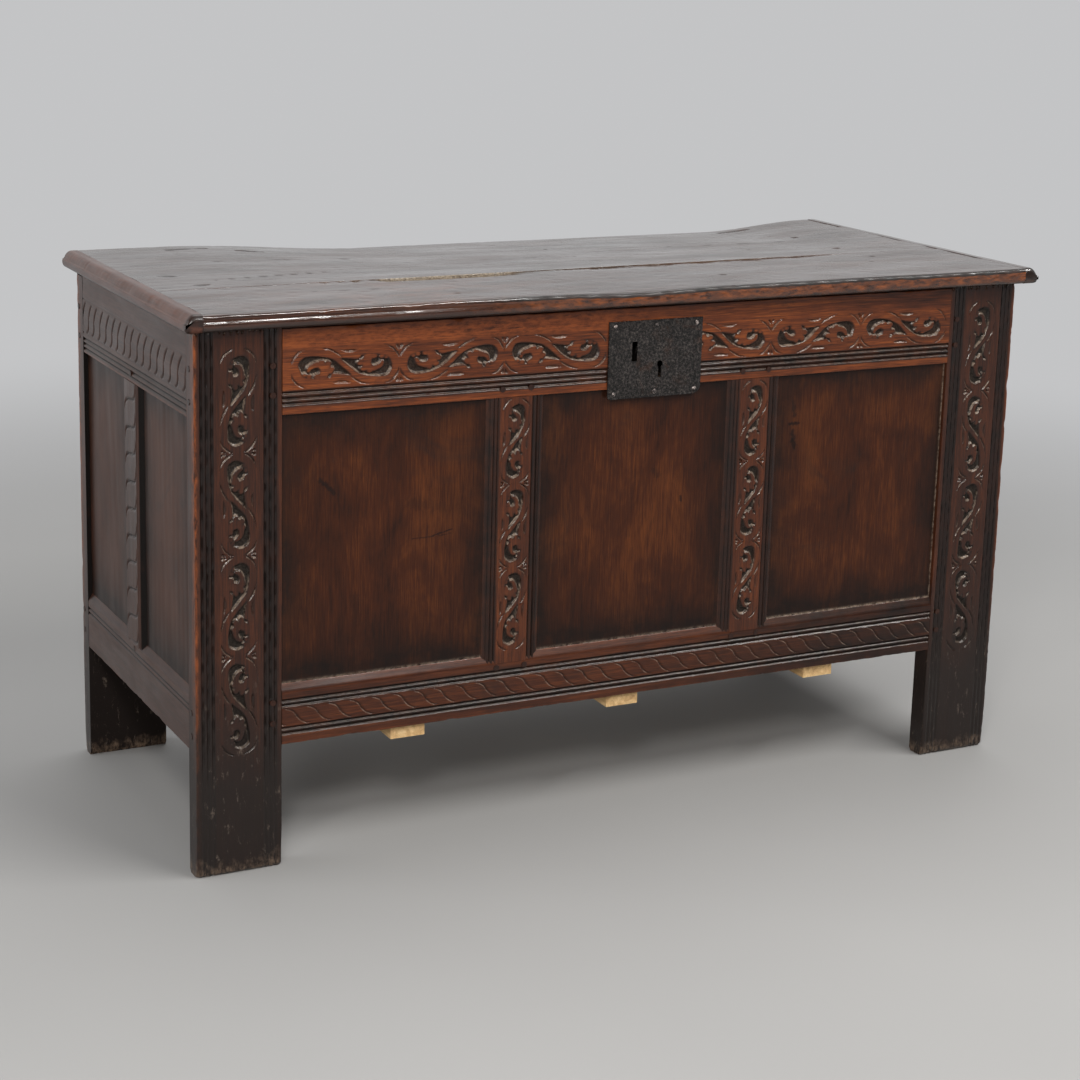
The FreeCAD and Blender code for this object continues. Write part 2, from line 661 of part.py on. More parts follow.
LID_CORNER = ("case_left - lid_end_overhang", "case_front - lid_front_overhang", "lid_under")


def plank_tongues(body, ends):
    """A tongue along each end of a lid plank, between the low and high rules of that end."""
    sides = (("strip_width - tongue_length", "strip_width"),
             ("plank_right", "plank_right + tongue_length"))
    for (start, end), (low, high) in zip(sides, ends):
        block(body, "Additive", (start, low, "tongue_low"),
              (end, high, "tongue_low + tongue_thickness"))


def dowel_places(reach):
    """Where the dowels along the slanting joint of the planks start, from the left."""
    places = []
    for index in (-1.5, -0.5, 0.5, 1.5):
        x = f"lid_length / 2 + ({index}) * dowel_pitch"
        joint = f"front_plank_width + ({x} - strip_width) * seam_slope + plank_gap / 2"
        places.append((x, f"{joint} - ({reach})", "lid_thickness / 2"))
    return places


def dowel_holes(body):
    """Blind holes for the dowels, cut into both planks."""
    reach = "dowel_length / 2 + mortise_play"
    for point in dowel_places(reach):
        rod(body, "Subtractive", "Prism", point, Y_AXIS, "dowel_radius + peg_clearance",
            f"2 * ({reach})")


def lid():
    """Two planks, tongued into a moulded strip at each end and dowelled to each other."""
    front = new_body("lid_front_plank", LID_CORNER)
    wide_end = "front_plank_width + seam_slant"
    slab = extrude(front, "Pad", "XY_Plane",
                   [("strip_width", "0"), ("plank_right", "0"), ("plank_right", wide_end),
                    ("strip_width", "front_plank_width")], "lid_thickness")
    top = value("lid_thickness")
    upper = round_edges(front, slab, "nose_top_radius",
                        lambda point: near(point.y, 0) and near(point.z, top))
    round_edges(front, upper, "nose_bottom_radius",
                lambda point: near(point.y, 0) and near(point.z, 0))
    plank_tongues(front, (("tongue_inset", "front_plank_width"), ("tongue_inset", wide_end)))
    dowel_holes(front)

    back = new_body("lid_back_plank", LID_CORNER)
    narrow, wide = "front_plank_width + plank_gap", f"{wide_end} + plank_gap"
    bends = ("lid_length - lid_end_overhang - dip_right_end", "lid_end_overhang + dip_left_end",
             "lid_end_overhang + dip_left_start")
    sections = []
    for place, dips in ((narrow, (0, 0, 0)), ("lid_depth", ("dip_depth", "dip_depth", 0))):
        points = [("strip_width", "0"), ("plank_right", "0"), ("plank_right", "lid_thickness")]
        points += [(x, f"lid_thickness - {dip}") for x, dip in zip(bends, dips)]
        points += [("strip_width", "lid_thickness")]
        sections.append(outline(back, "XZ_Plane", points, offset=f"0 - ({place})"))
    loft = back.newObject("PartDesign::AdditiveLoft", "Loft")
    loft.Profile = sections[0]
    loft.Sections = [sections[1]]
    loft.Ruled = True
    sliver = [("strip_width", narrow), ("plank_right", wide),
              (f"plank_right + {CUT_PAST}", wide), (f"plank_right + {CUT_PAST}", f"{narrow} - {CUT_PAST}"),
              ("strip_width", f"{narrow} - {CUT_PAST}")]
    extrude(back, "Pocket", "XY_Plane", sliver, f"lid_thickness + {CUT_PAST}",
            offset=f"lid_thickness + {CUT_PAST} / 2")
    far = "lid_depth - tongue_inset"
    plank_tongues(back, ((narrow, far), (wide, far)))
    dowel_holes(back)

    for name, first in (("left", True), ("right", False)):
        body = new_body(f"lid_{name}_strip", LID_CORNER)

        def ends(start, end):
            if first:
                return start, end
            return f"lid_length - ({end})", f"lid_length - ({start})"

        start, end = ends("0", "strip_width")
        bar = block(body, "Additive", (start, "0", "0"), (end, "lid_depth", "lid_thickness"))
        outer = value("0" if first else "lid_length")
        upper = round_edges(body, bar, "strip_top_radius",
                            lambda point: near(point.x, outer) and near(point.z, top))
        round_edges(body, upper, "strip_bottom_radius",
                    lambda point: near(point.x, outer) and near(point.z, 0))
        start, end = ends("strip_width - tongue_length - joint_gap", f"strip_width + {CUT_PAST}")
        block(body, "Subtractive", (start, "tongue_inset - joint_gap", "tongue_low - joint_gap"),
              (end, "lid_depth - tongue_inset + joint_gap",
               "tongue_low + tongue_thickness + joint_gap"))

    dowels = new_body("lid_dowels", LID_CORNER)
    for point in dowel_places("dowel_length / 2"):
        rod(dowels, "Additive", "Prism", point, Y_AXIS, "dowel_radius", "dowel_length")
    return back


# ------------------------------------------------------------------ iron fittings

def hinges(back_rail, back_plank):
    """Two strap hinges: a leaf on the back rail, a strap under the lid and a pin in each."""
    leaf_nails = new_body("hinge_leaf_nails")
    strap_nails = new_body("hinge_strap_nails")
    axis_y = "case_back + barrel_reach"
    axis_z = "lid_under - strap_top"
    for name, middle in (("left", "case_left + hinge_inset"), ("right", "0 - case_left - hinge_inset")):
        axis = (middle, axis_y, axis_z)
        bore = ("0 - barrel_length", 0, 0)

        leaf = new_body(f"{name}_hinge_leaf", axis)
        plate_back = "hinge_plate - barrel_reach"
        block(leaf, "Additive", ("0 - barrel_length / 2", "0 - barrel_reach", "0 - leaf_height"),
              ("barrel_length / 2", plate_back, 0))
        room = "strap_knuckle / 2 + knuckle_gap"
        block(leaf, "Subtractive",
              (f"0 - ({room})", f"0 - barrel_reach - {CUT_PAST}", "0 - barrel_radius - knuckle_gap"),
              (room, f"{plate_back} + {CUT_PAST}", CUT_PAST))
        for start in ("0 - barrel_length / 2", "barrel_length / 2 - knuckle_length"):
            rod(leaf, "Additive", "Cylinder", (start, 0, 0), X_AXIS, "barrel_radius",
                "knuckle_length")
        rod(leaf, "Subtractive", "Cylinder", bore, X_AXIS, "pin_radius + pin_clearance",
            "2 * barrel_length")

        strap = new_body(f"{name}_hinge_strap", axis)
        rod(strap, "Additive", "Cylinder", ("0 - strap_knuckle / 2", 0, 0), X_AXIS,
            "barrel_radius", "strap_knuckle")
        half = [("strap_knuckle / 2", "0"), ("strap_knuckle / 2", "0 - strap_neck"),
                ("strap_width / 2", "0 - strap_neck - hinge_plate"),
                ("strap_tip_width / 2", "strap_point - strap_length")]
        shape = half + [("0", "0 - strap_length")]
        shape += [(f"0 - {x}", y) for x, y in reversed(half)]
        extrude(strap, "Pad", "XY_Plane", shape, "hinge_plate", offset="strap_top - hinge_plate")
        rod(strap, "Subtractive", "Cylinder", bore, X_AXIS, "pin_radius + pin_clearance",
            "2 * barrel_length")

        pin = new_body(f"{name}_hinge_pin", axis)
        rod(pin, "Additive", "Cylinder", ("0 - barrel_length / 2 - pin_overhang", 0, 0), X_AXIS,
            "pin_radius", "barrel_length + 2 * pin_overhang")

        side = "barrel_length / 2 - leaf_nail_inset"
        for x in (f"0 - ({side})", side):
            for z in ("leaf_nail_inset - leaf_height", "0 - barrel_radius - leaf_nail_inset"):
                nail_hole(leaf, (x, plate_back, z), -Y_AXIS, "hinge_nail_length")
                point = (f"{middle} + {x}", f"case_back + hinge_plate", f"{axis_z} + {z}")
                nail(leaf_nails, point, -Y_AXIS, "hinge_nail_length")
                nail_hole(back_rail, inside(BACK, point), Y_AXIS, "hinge_nail_length")
        for index in range(3):
            y = f"0 - strap_nail_start - {index} * strap_nail_pitch"
            nail_hole(strap, (0, y, "strap_top - hinge_plate"), Z_AXIS, "hinge_nail_length")
            point = (middle, f"{axis_y} + {y}", f"lid_under - hinge_plate")
            nail(strap_nails, point, Z_AXIS, "hinge_nail_length")
            in_lid = (f"{middle} - ({LID_CORNER[0]})", f"{axis_y} + {y} - ({LID_CORNER[1]})",
                      "0 - hinge_plate")
            nail_hole(back_plank, in_lid, Z_AXIS, "hinge_nail_length")


def lock(front_rail, middle_panel):
    """Lock plate on the face of the rail, with the bolt, its guides and spring behind it."""
    behind = f"rail_thickness + {CUT_PAST}"
    block(front_rail, "Subtractive", ("works_left", f"0 - {CUT_PAST}", "works_foot"),
          ("works_left + works_width", behind, "works_foot + works_height"))

    plate = FRONT.body("lockplate")
    sheet_iron = block(plate, "Additive", ("plate_left", "0 - plate_thickness", "plate_foot"),
                       ("plate_left + plate_width", 0, "plate_top"))
    foot = value("plate_foot")
    sides = (value("plate_left"), value("plate_left + plate_width"))
    left_round = round_edges(plate, sheet_iron, "plate_left_radius",
                             lambda point: near(point.z, foot) and near(point.x, sides[0]))
    round_edges(plate, left_round, "plate_right_radius",
                lambda point: near(point.z, foot) and near(point.x, sides[1]))
    through = (f"0 - plate_thickness - {CUT_PAST}", CUT_PAST)
    slot = "plate_left + slot_left"
    block(plate, "Subtractive", (slot, through[0], "plate_top - slot_drop - slot_height"),
          (f"{slot} + slot_width", through[1], "plate_top - slot_drop"))
    key_x, key_z = "plate_left + keyhole_left", "plate_top - keyhole_drop"
    block(plate, "Subtractive",
          (f"{key_x} - keyhole_slit / 2", through[0], f"{key_z} - keyhole_height"),
          (f"{key_x} + keyhole_slit / 2", through[1], key_z))
    rod(plate, "Subtractive", "Cylinder", (key_x, through[0], key_z), Y_AXIS, "keyhole_radius",
        f"plate_thickness + 2 * {CUT_PAST}")

    bolt = FRONT.body("lock_bolt")
    block(bolt, "Additive", ("bolt_left", "bolt_setback", "bolt_foot"),
          ("bolt_left + bolt_length", "bolt_setback + bolt_thickness", "bolt_top"))
    block(bolt, "Subtractive",
          (f"{key_x} - talon_width / 2", f"bolt_setback - {CUT_PAST}", f"bolt_foot - {CUT_PAST}"),
          (f"{key_x} + talon_width / 2", f"bolt_setback + bolt_thickness + {CUT_PAST}",
           "bolt_foot + talon_depth"))

    guides = FRONT.body("lock_guides")
    inner = ("bolt_foot - bolt_clearance", "bolt_top + bolt_clearance")
    depth = "bolt_setback + bolt_thickness + bolt_clearance"
    for place in ("catch_guide", "front_guide", "rear_guide"):
        left = f"plate_left + {place} - guide_width / 2"
        block(guides, "Additive", (left, 0, f"{inner[0]} - guide_metal"),
              (f"{left} + guide_width", f"{depth} + guide_metal", f"{inner[1]} + guide_metal"))
    block(guides, "Subtractive", ("plate_left", f"0 - {CUT_PAST}", inner[0]),
          ("plate_left + plate_width", depth, inner[1]))

    spring = FRONT.body("lock_spring")
    tip_z = "bolt_top + bolt_clearance"
    foot_x = "plate_left + rear_guide - guide_width / 2 - spring_foot - spring_metal"
    foot_z = "bolt_top + spring_rise"
    tip_x = f"{foot_x} - spring_reach + spring_foot"
    leaf = [(f"{foot_x} + spring_foot", f"{foot_z} - spring_foot"), (f"{foot_x} + spring_foot", foot_z),
            (foot_x, foot_z), (tip_x, f"{tip_z} + spring_metal"), (tip_x, tip_z),
            (f"{tip_x} + spring_metal", tip_z), (foot_x, f"{foot_z} - spring_metal * 2"),
            (foot_x, f"{foot_z} - spring_foot")]
    extrude(spring, "Pad", "XZ_Plane", leaf, "bolt_setback + spring_width", reverse=True)

    cover = FRONT.body("lock_cover")
    block(cover, "Additive",
          ("works_left - cover_lap", "rail_thickness", "works_foot - cover_lap"),
          ("works_left + works_width + cover_lap", "rail_thickness + cover_thickness",
           "works_foot + works_height + cover_lap"))

    plate_nails = FRONT.body("lockplate_nails")
    xs = ("plate_left + plate_nail_side", "plate_left + plate_width / 2",
          "plate_left + plate_width - plate_nail_side")
    for x in xs:
        for z, wood in (("plate_top - plate_nail_top", front_rail),
                        ("plate_foot + plate_nail_top", middle_panel)):
            point = (x, "0 - plate_thickness", z)
            nail(plate_nails, point, Y_AXIS, "plate_nail_length")
            for piece in (plate, wood):
                nail_hole(piece, point, Y_AXIS, "plate_nail_length")

    cover_nails = FRONT.body("lock_cover_nails")
    for x in ("works_left - cover_lap / 2", "works_left + works_width + cover_lap / 2"):
        for z in ("works_foot", "works_foot + works_height"):
            point = (x, "rail_thickness + cover_thickness", z)
            nail(cover_nails, point, -Y_AXIS, "cover_nail_length")
            for piece in (cover, front_rail):
                nail_hole(piece, point, -Y_AXIS, "cover_nail_length")


# ---------------------------------------------------------------------- the chest

case_right = "0 - case_left"
long_heights = ("foot_height + bottom_peg_rise",
                "foot_height + bottom_peg_rise + bottom_peg_spacing",
                "opening_high + peg_rise", "opening_high + peg_rise + peg_spacing")
end_heights = ("foot_height + end_peg_rise",
               "foot_height + end_peg_rise + end_bottom_peg_spacing",
               "opening_high + end_peg_rise", "opening_high + end_peg_rise + end_peg_spacing")
FRONT = Side("front", ("case_left", "case_front", 0), 0, "stile_width", "front_span",
             "muntin_width", ("left", "middle", "right"), "tenon_length", "peg_margin",
             long_heights, True)
BACK = Side("back", (case_right, "case_back", 0), 180, "stile_width", "front_span",
            "muntin_width", ("right", "middle", "left"), "tenon_length", "peg_margin",
            long_heights, False)
LEFT = Side("left_end", ("case_left", "case_back", 0), -90, "stile_thickness", "end_span",
            "end_muntin_width", ("back", "front"), "end_tenon_length", "end_peg_margin",
            end_heights, True)
RIGHT = Side("right_end", (case_right, "case_front", 0), 90, "stile_thickness", "end_span",
             "end_muntin_width", ("front", "back"), "end_tenon_length", "end_peg_margin",
             end_heights, True)

stile(FRONT, "front_left_stile", True, LEFT)
stile(FRONT, "front_right_stile", False, RIGHT)
stile(BACK, "back_right_stile", True, RIGHT)
stile(BACK, "back_left_stile", False, LEFT)
case = {
    "front": framed(FRONT, ("left_muntin", "right_muntin")),
    "back": framed(BACK, ("right_muntin", "left_muntin")),
    "left": framed(LEFT, ("muntin",)),
    "right": framed(RIGHT, ("muntin",)),
}
floor(case)
back_plank = lid()
hinges(case["back"]["top_rail"], back_plank)
lock(case["front"]["top_rail"], case["front"]["middle"])

doc.recompute()
for item in doc.Objects:
    if "Invalid" in item.State or "Error" in item.State:
        raise RuntimeError(f"{item.Name} of {item.Label} failed: {item.State}")
for node in nodes:
    if node.Shape.isNull() or not node.Shape.isValid() or not node.Shape.Solids:
        raise RuntimeError(f"{node.Label} has no valid solid")

os.makedirs("parts", exist_ok=True)
for node in nodes:
    node.Shape.exportStep(os.path.join("parts", f"{node.Label}.step"))
print(len(nodes), "nodes,", sum(len(node.Shape.Solids) for node in nodes), "solids")
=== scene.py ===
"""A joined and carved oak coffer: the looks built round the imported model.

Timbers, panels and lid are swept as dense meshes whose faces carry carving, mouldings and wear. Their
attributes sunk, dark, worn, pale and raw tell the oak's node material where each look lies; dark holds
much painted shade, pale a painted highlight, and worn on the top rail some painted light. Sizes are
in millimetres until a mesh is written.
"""
import functools
import math

import bpy
import numpy as np
from mathutils import Matrix, Vector

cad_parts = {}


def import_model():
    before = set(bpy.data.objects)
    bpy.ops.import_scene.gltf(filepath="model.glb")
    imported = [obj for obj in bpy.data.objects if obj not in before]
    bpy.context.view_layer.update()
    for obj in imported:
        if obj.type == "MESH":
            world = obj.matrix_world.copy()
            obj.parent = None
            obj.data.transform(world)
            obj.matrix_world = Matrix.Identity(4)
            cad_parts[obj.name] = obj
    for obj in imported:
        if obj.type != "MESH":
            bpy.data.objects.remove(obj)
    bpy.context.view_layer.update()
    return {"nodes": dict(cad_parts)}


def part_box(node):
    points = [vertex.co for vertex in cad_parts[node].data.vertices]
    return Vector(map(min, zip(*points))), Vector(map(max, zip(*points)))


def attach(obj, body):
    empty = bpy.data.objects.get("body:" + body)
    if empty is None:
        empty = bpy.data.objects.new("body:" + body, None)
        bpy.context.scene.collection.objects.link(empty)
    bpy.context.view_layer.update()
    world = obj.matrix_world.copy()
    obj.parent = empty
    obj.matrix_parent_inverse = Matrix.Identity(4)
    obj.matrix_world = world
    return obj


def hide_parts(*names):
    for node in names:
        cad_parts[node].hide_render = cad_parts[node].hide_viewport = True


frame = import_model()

MM = 0.001

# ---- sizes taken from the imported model


def box(node):
    low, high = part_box(node)
    return np.array(low) / MM, np.array(high) / MM


def reach(node, axis):
    """Where a node begins and ends along an axis: 0, 1 or 2."""
    low, high = box(node)
    return low[axis], high[axis]


CASE_X = box("front_right_stile")[1][0]
CASE_Y = -box("front_left_stile")[0][1]
STILE_HEIGHT = box("front_left_stile")[1][2]
STILE_WIDTH, STILE_THICK, RAIL_THICK = 110.0, 29.0, 26.0
TOP_RAIL, BOTTOM_RAIL = reach("front_top_rail", 2), reach("front_bottom_rail", 2)
FRONT_SHOULDER = CASE_X - STILE_WIDTH
END_FRONT, END_BACK = -CASE_Y + STILE_THICK, CASE_Y - STILE_THICK
JOINT_GAP = 0.15
PANEL_SET, PANEL_THICK, PANEL_TONGUE = 6.0, 10.0, 6.5
RAIL_CHAMFER, MUNTIN_CHAMFER = (10.0, 6.0), (9.0, 6.0)  # width and depth
LID_LOW, LID_TOP = reach("lid_front_plank", 2)
LID_THICK = LID_TOP - LID_LOW
LID_X = box("lid_right_strip")[1][0]
LID_Y = -box("lid_front_plank")[0][1]
STRIP_WIDTH = 22.0

# ---- smooth noise and small shapes


class Noise:
    """Smooth, seeded noise from 0 to 1: a sum of plane waves over one array, or over two."""

    def __init__(self, seed, waves=9):
        draw = np.random.default_rng(seed)
        self.turn = draw.uniform(0, 2 * np.pi, waves)
        self.phase = draw.uniform(0, 2 * np.pi, waves)
        self.rate = draw.uniform(0.45, 1.7, waves)

    def __call__(self, first, second=0.0):
        total = 0.0
        for turn, phase, rate in zip(self.turn, self.phase, self.rate):
            along = first
            if not isinstance(second, float):
                along = first * math.cos(turn) + second * math.sin(turn)
            total = total + np.sin(2 * np.pi * rate * along + phase)
        return 0.5 + 0.5 * np.tanh(total / math.sqrt(len(self.turn)) * 1.1)


def top_of(*fields):
    """The greatest of several fields at each point."""
    return functools.reduce(np.maximum, fields)


def ease(part):
    part = np.clip(part, 0, 1)
    return part * part * (3 - 2 * part)


def segment_distance(x, y, start, end):
    """How far each point is from a segment, and how far along it the nearest place is, 0 to 1."""
    run = (end[0] - start[0], end[1] - start[1])
    long = run[0] ** 2 + run[1] ** 2 + 1e-9
    along = np.clip(((x - start[0]) * run[0] + (y - start[1]) * run[1]) / long, 0, 1)
    return np.hypot(x - start[0] - along * run[0], y - start[1] - along * run[1]), along


def rounded(points, closed, steps):
    """The points with a Catmull-Rom curve put through them; anything after x and y follows along."""
    points = np.array(points, float)
    count = len(points)
    curve = []
    for index in range(count if closed else count - 1):
        around = [index + shift for shift in (-1, 0, 1, 2)]
        around = [at % count if closed else min(max(at, 0), count - 1) for at in around]
        before, start, end, after = points[around]
        for step in range(steps):
            t = step / steps
            curve.append(0.5 * (2 * start + (end - before) * t
                                + (2 * before - 5 * start + 4 * end - after) * t ** 2
                                + (3 * start - before - 3 * end + after) * t ** 3))
    if not closed:
        curve.append(points[-1])
    return np.array(curve)


def stroke(x, y, points):
    """Distance to a line drawn with a pen of changing half width: below 0 inside the line."""
    curve = rounded(points, False, 3)
    nearest = np.full(np.shape(x), 1e3)
    for start, end in zip(curve[:-1], curve[1:]):
        far, along = segment_distance(x, y, start, end)
        nearest = np.minimum(nearest, far - (start[2] + along * (end[2] - start[2])))
    return nearest


def patch(x, y, points):
    """Distance to a closed outline: below 0 inside it."""
    curve = rounded(points, True, 4)
    nearest = np.full(np.shape(x), 1e3)
    inside = np.zeros(np.shape(x), bool)
    for start, end in zip(curve, np.roll(curve, -1, axis=0)):
        far, _ = segment_distance(x, y, start, end)
        nearest = np.minimum(nearest, far)
        crosses = (start[1] > y) != (end[1] > y)
        rise = end[1] - start[1]
        at = start[0] + (y - start[1]) / (rise if abs(rise) > 1e-9 else 1e-9) * (end[0] - start[0])
        inside ^= crosses & (x < at)
    return np.where(inside, -nearest, nearest)


def cut_line(x, y, points, half, deep):
    """A V-cut along a line, deepest in its middle and running out at both ends."""
    curve = rounded(points, False, 3)
    last = len(curve) - 1
    depth = np.zeros(np.shape(x))
    for index, (start, end) in enumerate(zip(curve[:-1], curve[1:])):
        far, along = segment_distance(x, y, start, end)
        taper = np.sin(np.pi * np.clip((index + along) / last, 0.04, 0.96)) ** 0.5
        depth = np.maximum(depth, deep * taper * np.clip(1 - far / (half * taper + 1e-6), 0, 1))
    return depth


# ---- carved ornament
# One scroll unit, drawn about its middle: x along the band, y across it. The left half is given and
# the right half is the same turned round. A leaf's points carry its half width, the eye its radius.

UNIT_HALF = (71.0, 30.0)
LOOP = [(-59, -4), (-61, 6), (-56, 15.6), (-47, 18), (-32, 16.6), (-18, 11.6), (-7.6, 3), (2, -7.7),
        (6, -13), (-4.5, -10.8), (-16.7, -9.7), (-21, -14.8), (-33, -16), (-46, -15), (-55, -11)]
LEAVES = [[(-30, -13, 6.0), (-27, -5, 6.2), (-28.5, 1, 5.6), (-34, 5, 4.6), (-40, 4.8, 4.0),
           (-45.8, 1.4, 3.2), (-48.4, -4.4, 2.0)],
          [(-32, 7.5, 4.0), (-31.4, 8.6, 3.6)],
          [(-24.5, 3.5, 4.4), (-22.6, 5.6, 4.0)],
          [(-20.5, -5, 4.2), (-18.4, -4.0, 3.8)],
          [(-47, -12, 3.2), (-47.4, -12.4, 3.2)],
          [(-53, -9.5, 2.4), (-53.4, -9.9, 2.4)],
          [(-37, -13, 4), (-36.6, -13.4, 4)]]
EYE = (-41, -5.5, 4.2)
LINES = [[(-34, 30), (-21, 26.3), (-11, 20), (-5, 14.5)],
         [(-50, 30), (-61, 25), (-68.5, 14), (-70, 8)],
         [(-70, -8), (-68.5, -14), (-61, -24), (-50, -30)]]
CRESCENT = [(-19, -24.5), (-12, -20.5), (-4, -19.6), (4, -21.5), (10, -26), (0, -26.6), (-10, -26.2)]
NICK = [(-71.5, 15), (-69.3, 19), (-66.5, 24), (-65.5, 28.5), (-71.5, 28)]
GROUND_DEEP = 3.4
WALL = 1.9
# Painted shade along the foot of each carved wall.
WALL_SHADE = 0.85
LINE_DEEP, LINE_HALF = 2.2, 1.9
CRESCENT_DEEP = 2.2
HAND_SHAKE = 0.6


def scroll(x, y, draw, ends):
    """Depth, groundwork and darkness of one scroll unit at points in its own millimetres; the darkness is
    painted shade at the walls' feet, in the V-cuts and in the nicks.

    ends says at which ends another unit joins on.
    """
    def shaken(points):
        return [(*(np.array(point[:2]) + draw.uniform(-HAND_SHAKE, HAND_SHAKE, 2)), *point[2:])
                for point in points]

    depth, sunk, dark = np.zeros((3, *np.shape(x)))
    for turn, joined in ((1, ends[0]), (-1, ends[1])):
        u, v = x * turn, y * turn
        hole = patch(u, v, shaken(LOOP))
        for leaf in LEAVES:
            hole = np.maximum(hole, -stroke(u, v, shaken(leaf)))
        eye = np.hypot(u - EYE[0], v - EYE[1]) - EYE[2] * draw.uniform(0.9, 1.15)
        hole = np.minimum(hole, eye)
        floor = ease(-hole / WALL)
        depth = np.maximum(depth, GROUND_DEEP * floor)
        sunk = np.maximum(sunk, floor)
        dark = np.maximum(dark, WALL_SHADE * np.exp(-((hole + 0.5 * WALL) / WALL) ** 2))
        hollow = ease(-patch(u, v, shaken(CRESCENT)) / (WALL * 1.6))
        depth = np.maximum(depth, CRESCENT_DEEP * hollow)
        sunk = np.maximum(sunk, 0.6 * hollow)
        for line in LINES:
            cut = cut_line(u, v, shaken(line), LINE_HALF, LINE_DEEP)
            depth = np.maximum(depth, cut)
            # Painted shade in the V-cut, as deep as the cut.
            dark = np.maximum(dark, cut / LINE_DEEP)
        if joined:
            ridge = np.clip(np.abs(u + UNIT_HALF[0]) / 1.6, 0, 1)
            for flip in (1, -1):
                nick = ease(-patch(u, v * flip, shaken(NICK)) / 2.0)
                depth = np.maximum(depth, 0.75 * GROUND_DEEP * nick * ridge)
                # Painted shade in the nick.
                dark = np.maximum(dark, 0.6 * nick * ridge)
    return depth, sunk, dark


def scroll_band(along, across, units, middle, half, seed):
    """Several units in a row: (start, end, mirrored) along the band, about the middle line."""
    wholes = np.zeros((3, *np.shape(along)))
    draw = np.random.default_rng(seed)
    for index, (start, end, mirrored) in enumerate(units):
        centre, length = (start + end) / 2, (end - start) / 2
        x = (along - centre) / length * UNIT_HALF[0]
        y = (across - middle) / half * UNIT_HALF[1] * (-1 if mirrored else 1)
        near = (np.abs(x) < UNIT_HALF[0] + 2) & (np.abs(y) < UNIT_HALF[1] + 2)
        parts = scroll(x[near], y[near], draw, (index > 0, index < len(units) - 1))
        for whole, part in zip(wholes, parts):
            whole[near] = np.maximum(whole[near], part)
    return wholes


REED_PITCH = 6.6
REED_DEEP = 2.5


def reeds(across, marks):
    """Rounded beads between grooves that lie at the marks."""
    depth = np.zeros(np.shape(across))
    for mark in marks:
        near = np.clip(np.abs(across - mark) / (REED_PITCH / 2), 0, 1)
        depth = np.maximum(depth, REED_DEEP * (0.5 + 0.5 * np.cos(np.pi * near)) ** 1.4)
    return depth


# Painted shade in the grooves between reeds, darkest where they are deepest.
def groove_shade(band):
    return np.clip(1.15 * band / REED_DEEP, 0, 1) ** 1.3


def in_shade(across, low, high, amount):
    """Painted shade held over a whole run moulding, from low to high."""
    return amount * ease((across - low) / 2.0 + 0.5) * ease((high - across) / 2.0 + 0.5)


def chamfer(distance, size):
    """Slope down to a panel: distance is from the timber's edge."""
    wide, deep = size
    return deep * np.clip((wide - distance) / wide, 0, 1)


# ---- materials


class Nodes:
    """A node tree with a few short ways to add to it."""

    def __init__(self, tree):
        self.tree = tree

    def node(self, kind, inputs=None, **settings):
        node = self.tree.nodes.new(kind)
        for key, setting in settings.items():
            setattr(node, key, setting)
        for key, source in (inputs or {}).items():
            self.feed(node.inputs[key], source)
        return node

    def feed(self, socket, source):
        if isinstance(source, bpy.types.NodeSocket):
            self.tree.links.new(source, socket)
        else:
            socket.default_value = source

    def math(self, kind, first, second, clamp=False):
        return self.node("ShaderNodeMath", {0: first, 1: second}, operation=kind,
                         use_clamp=clamp).outputs[0]

    def times(self, first, second, clamp=False):
        return self.math("MULTIPLY", first, second, clamp)

    def plus(self, first, second, clamp=False):
        return self.math("ADD", first, second, clamp)

    def span(self, source, low, high, to_low=0.0, to_high=1.0):
        return self.node("ShaderNodeMapRange", {"Value": source, "From Min": low, "From Max": high,
                                                "To Min": to_low, "To Max": to_high}).outputs[0]


class Material(Nodes):
    """A material's nodes, which end in its Principled shader."""

    def __init__(self, name):
        self.data = bpy.data.materials.new(name)
        self.data.use_nodes = True
        super().__init__(self.data.node_tree)
        self.shader = self.tree.nodes["Principled BSDF"]
        self.coords = self.node("ShaderNodeTexCoord").outputs["Object"]

    def look(self, **sources):
        """Feeds the shader's sockets, named with _ for each space."""
        for name, source in sources.items():
            self.feed(self.shader.inputs[name.replace("_", " ")], source)

    def noise(self, scale, detail=3.0, rough=0.55, warp=0.0):
        """Noise over the object's coordinates, with cells per metre: one number or one for each axis."""
        scale = scale if isinstance(scale, tuple) else (scale,) * 3
        scaled = self.node("ShaderNodeMapping", {"Vector": self.coords, "Scale": scale}).outputs[0]
        return self.node("ShaderNodeTexNoise", {"Vector": scaled, "Scale": 1.0, "Detail": detail,
                                                "Roughness": rough, "Distortion": warp}).outputs["Fac"]

    def ramp(self, source, stops):
        node = self.node("ShaderNodeValToRGB", {"Fac": source})
        band = node.color_ramp
        while len(band.elements) < len(stops):
            band.elements.new(0.5)
        for element, (place, colour) in zip(band.elements, stops):
            element.position = place
            element.color = (*colour, 1)
        return node.outputs["Color"]

    def blend(self, amount, first, second):
        first, second = ((*c, 1) if isinstance(c, tuple) else c for c in (first, second))
        return self.node("ShaderNodeMix", {0: amount, 6: first, 7: second},
                         data_type="RGBA").outputs[2]

    def tint(self, colour, other, first, second, clamp=False):
        """The colour turned into the other one by first times second."""
        return self.blend(self.times(first, second, clamp), colour, other)

    def attribute(self, name):
        return self.node("ShaderNodeAttribute", attribute_name=name).outputs["Fac"]

    def bump(self, height, strength, distance):
        self.look(Normal=self.node("ShaderNodeBump", {"Height": height, "Strength": strength,
                                                      "Distance": distance}).outputs[0])


def along_grain(axis, across, along):
    """Cells per metre for each axis, of noise drawn out along one of them."""
    return tuple(along if name == axis else across for name in "xyz")


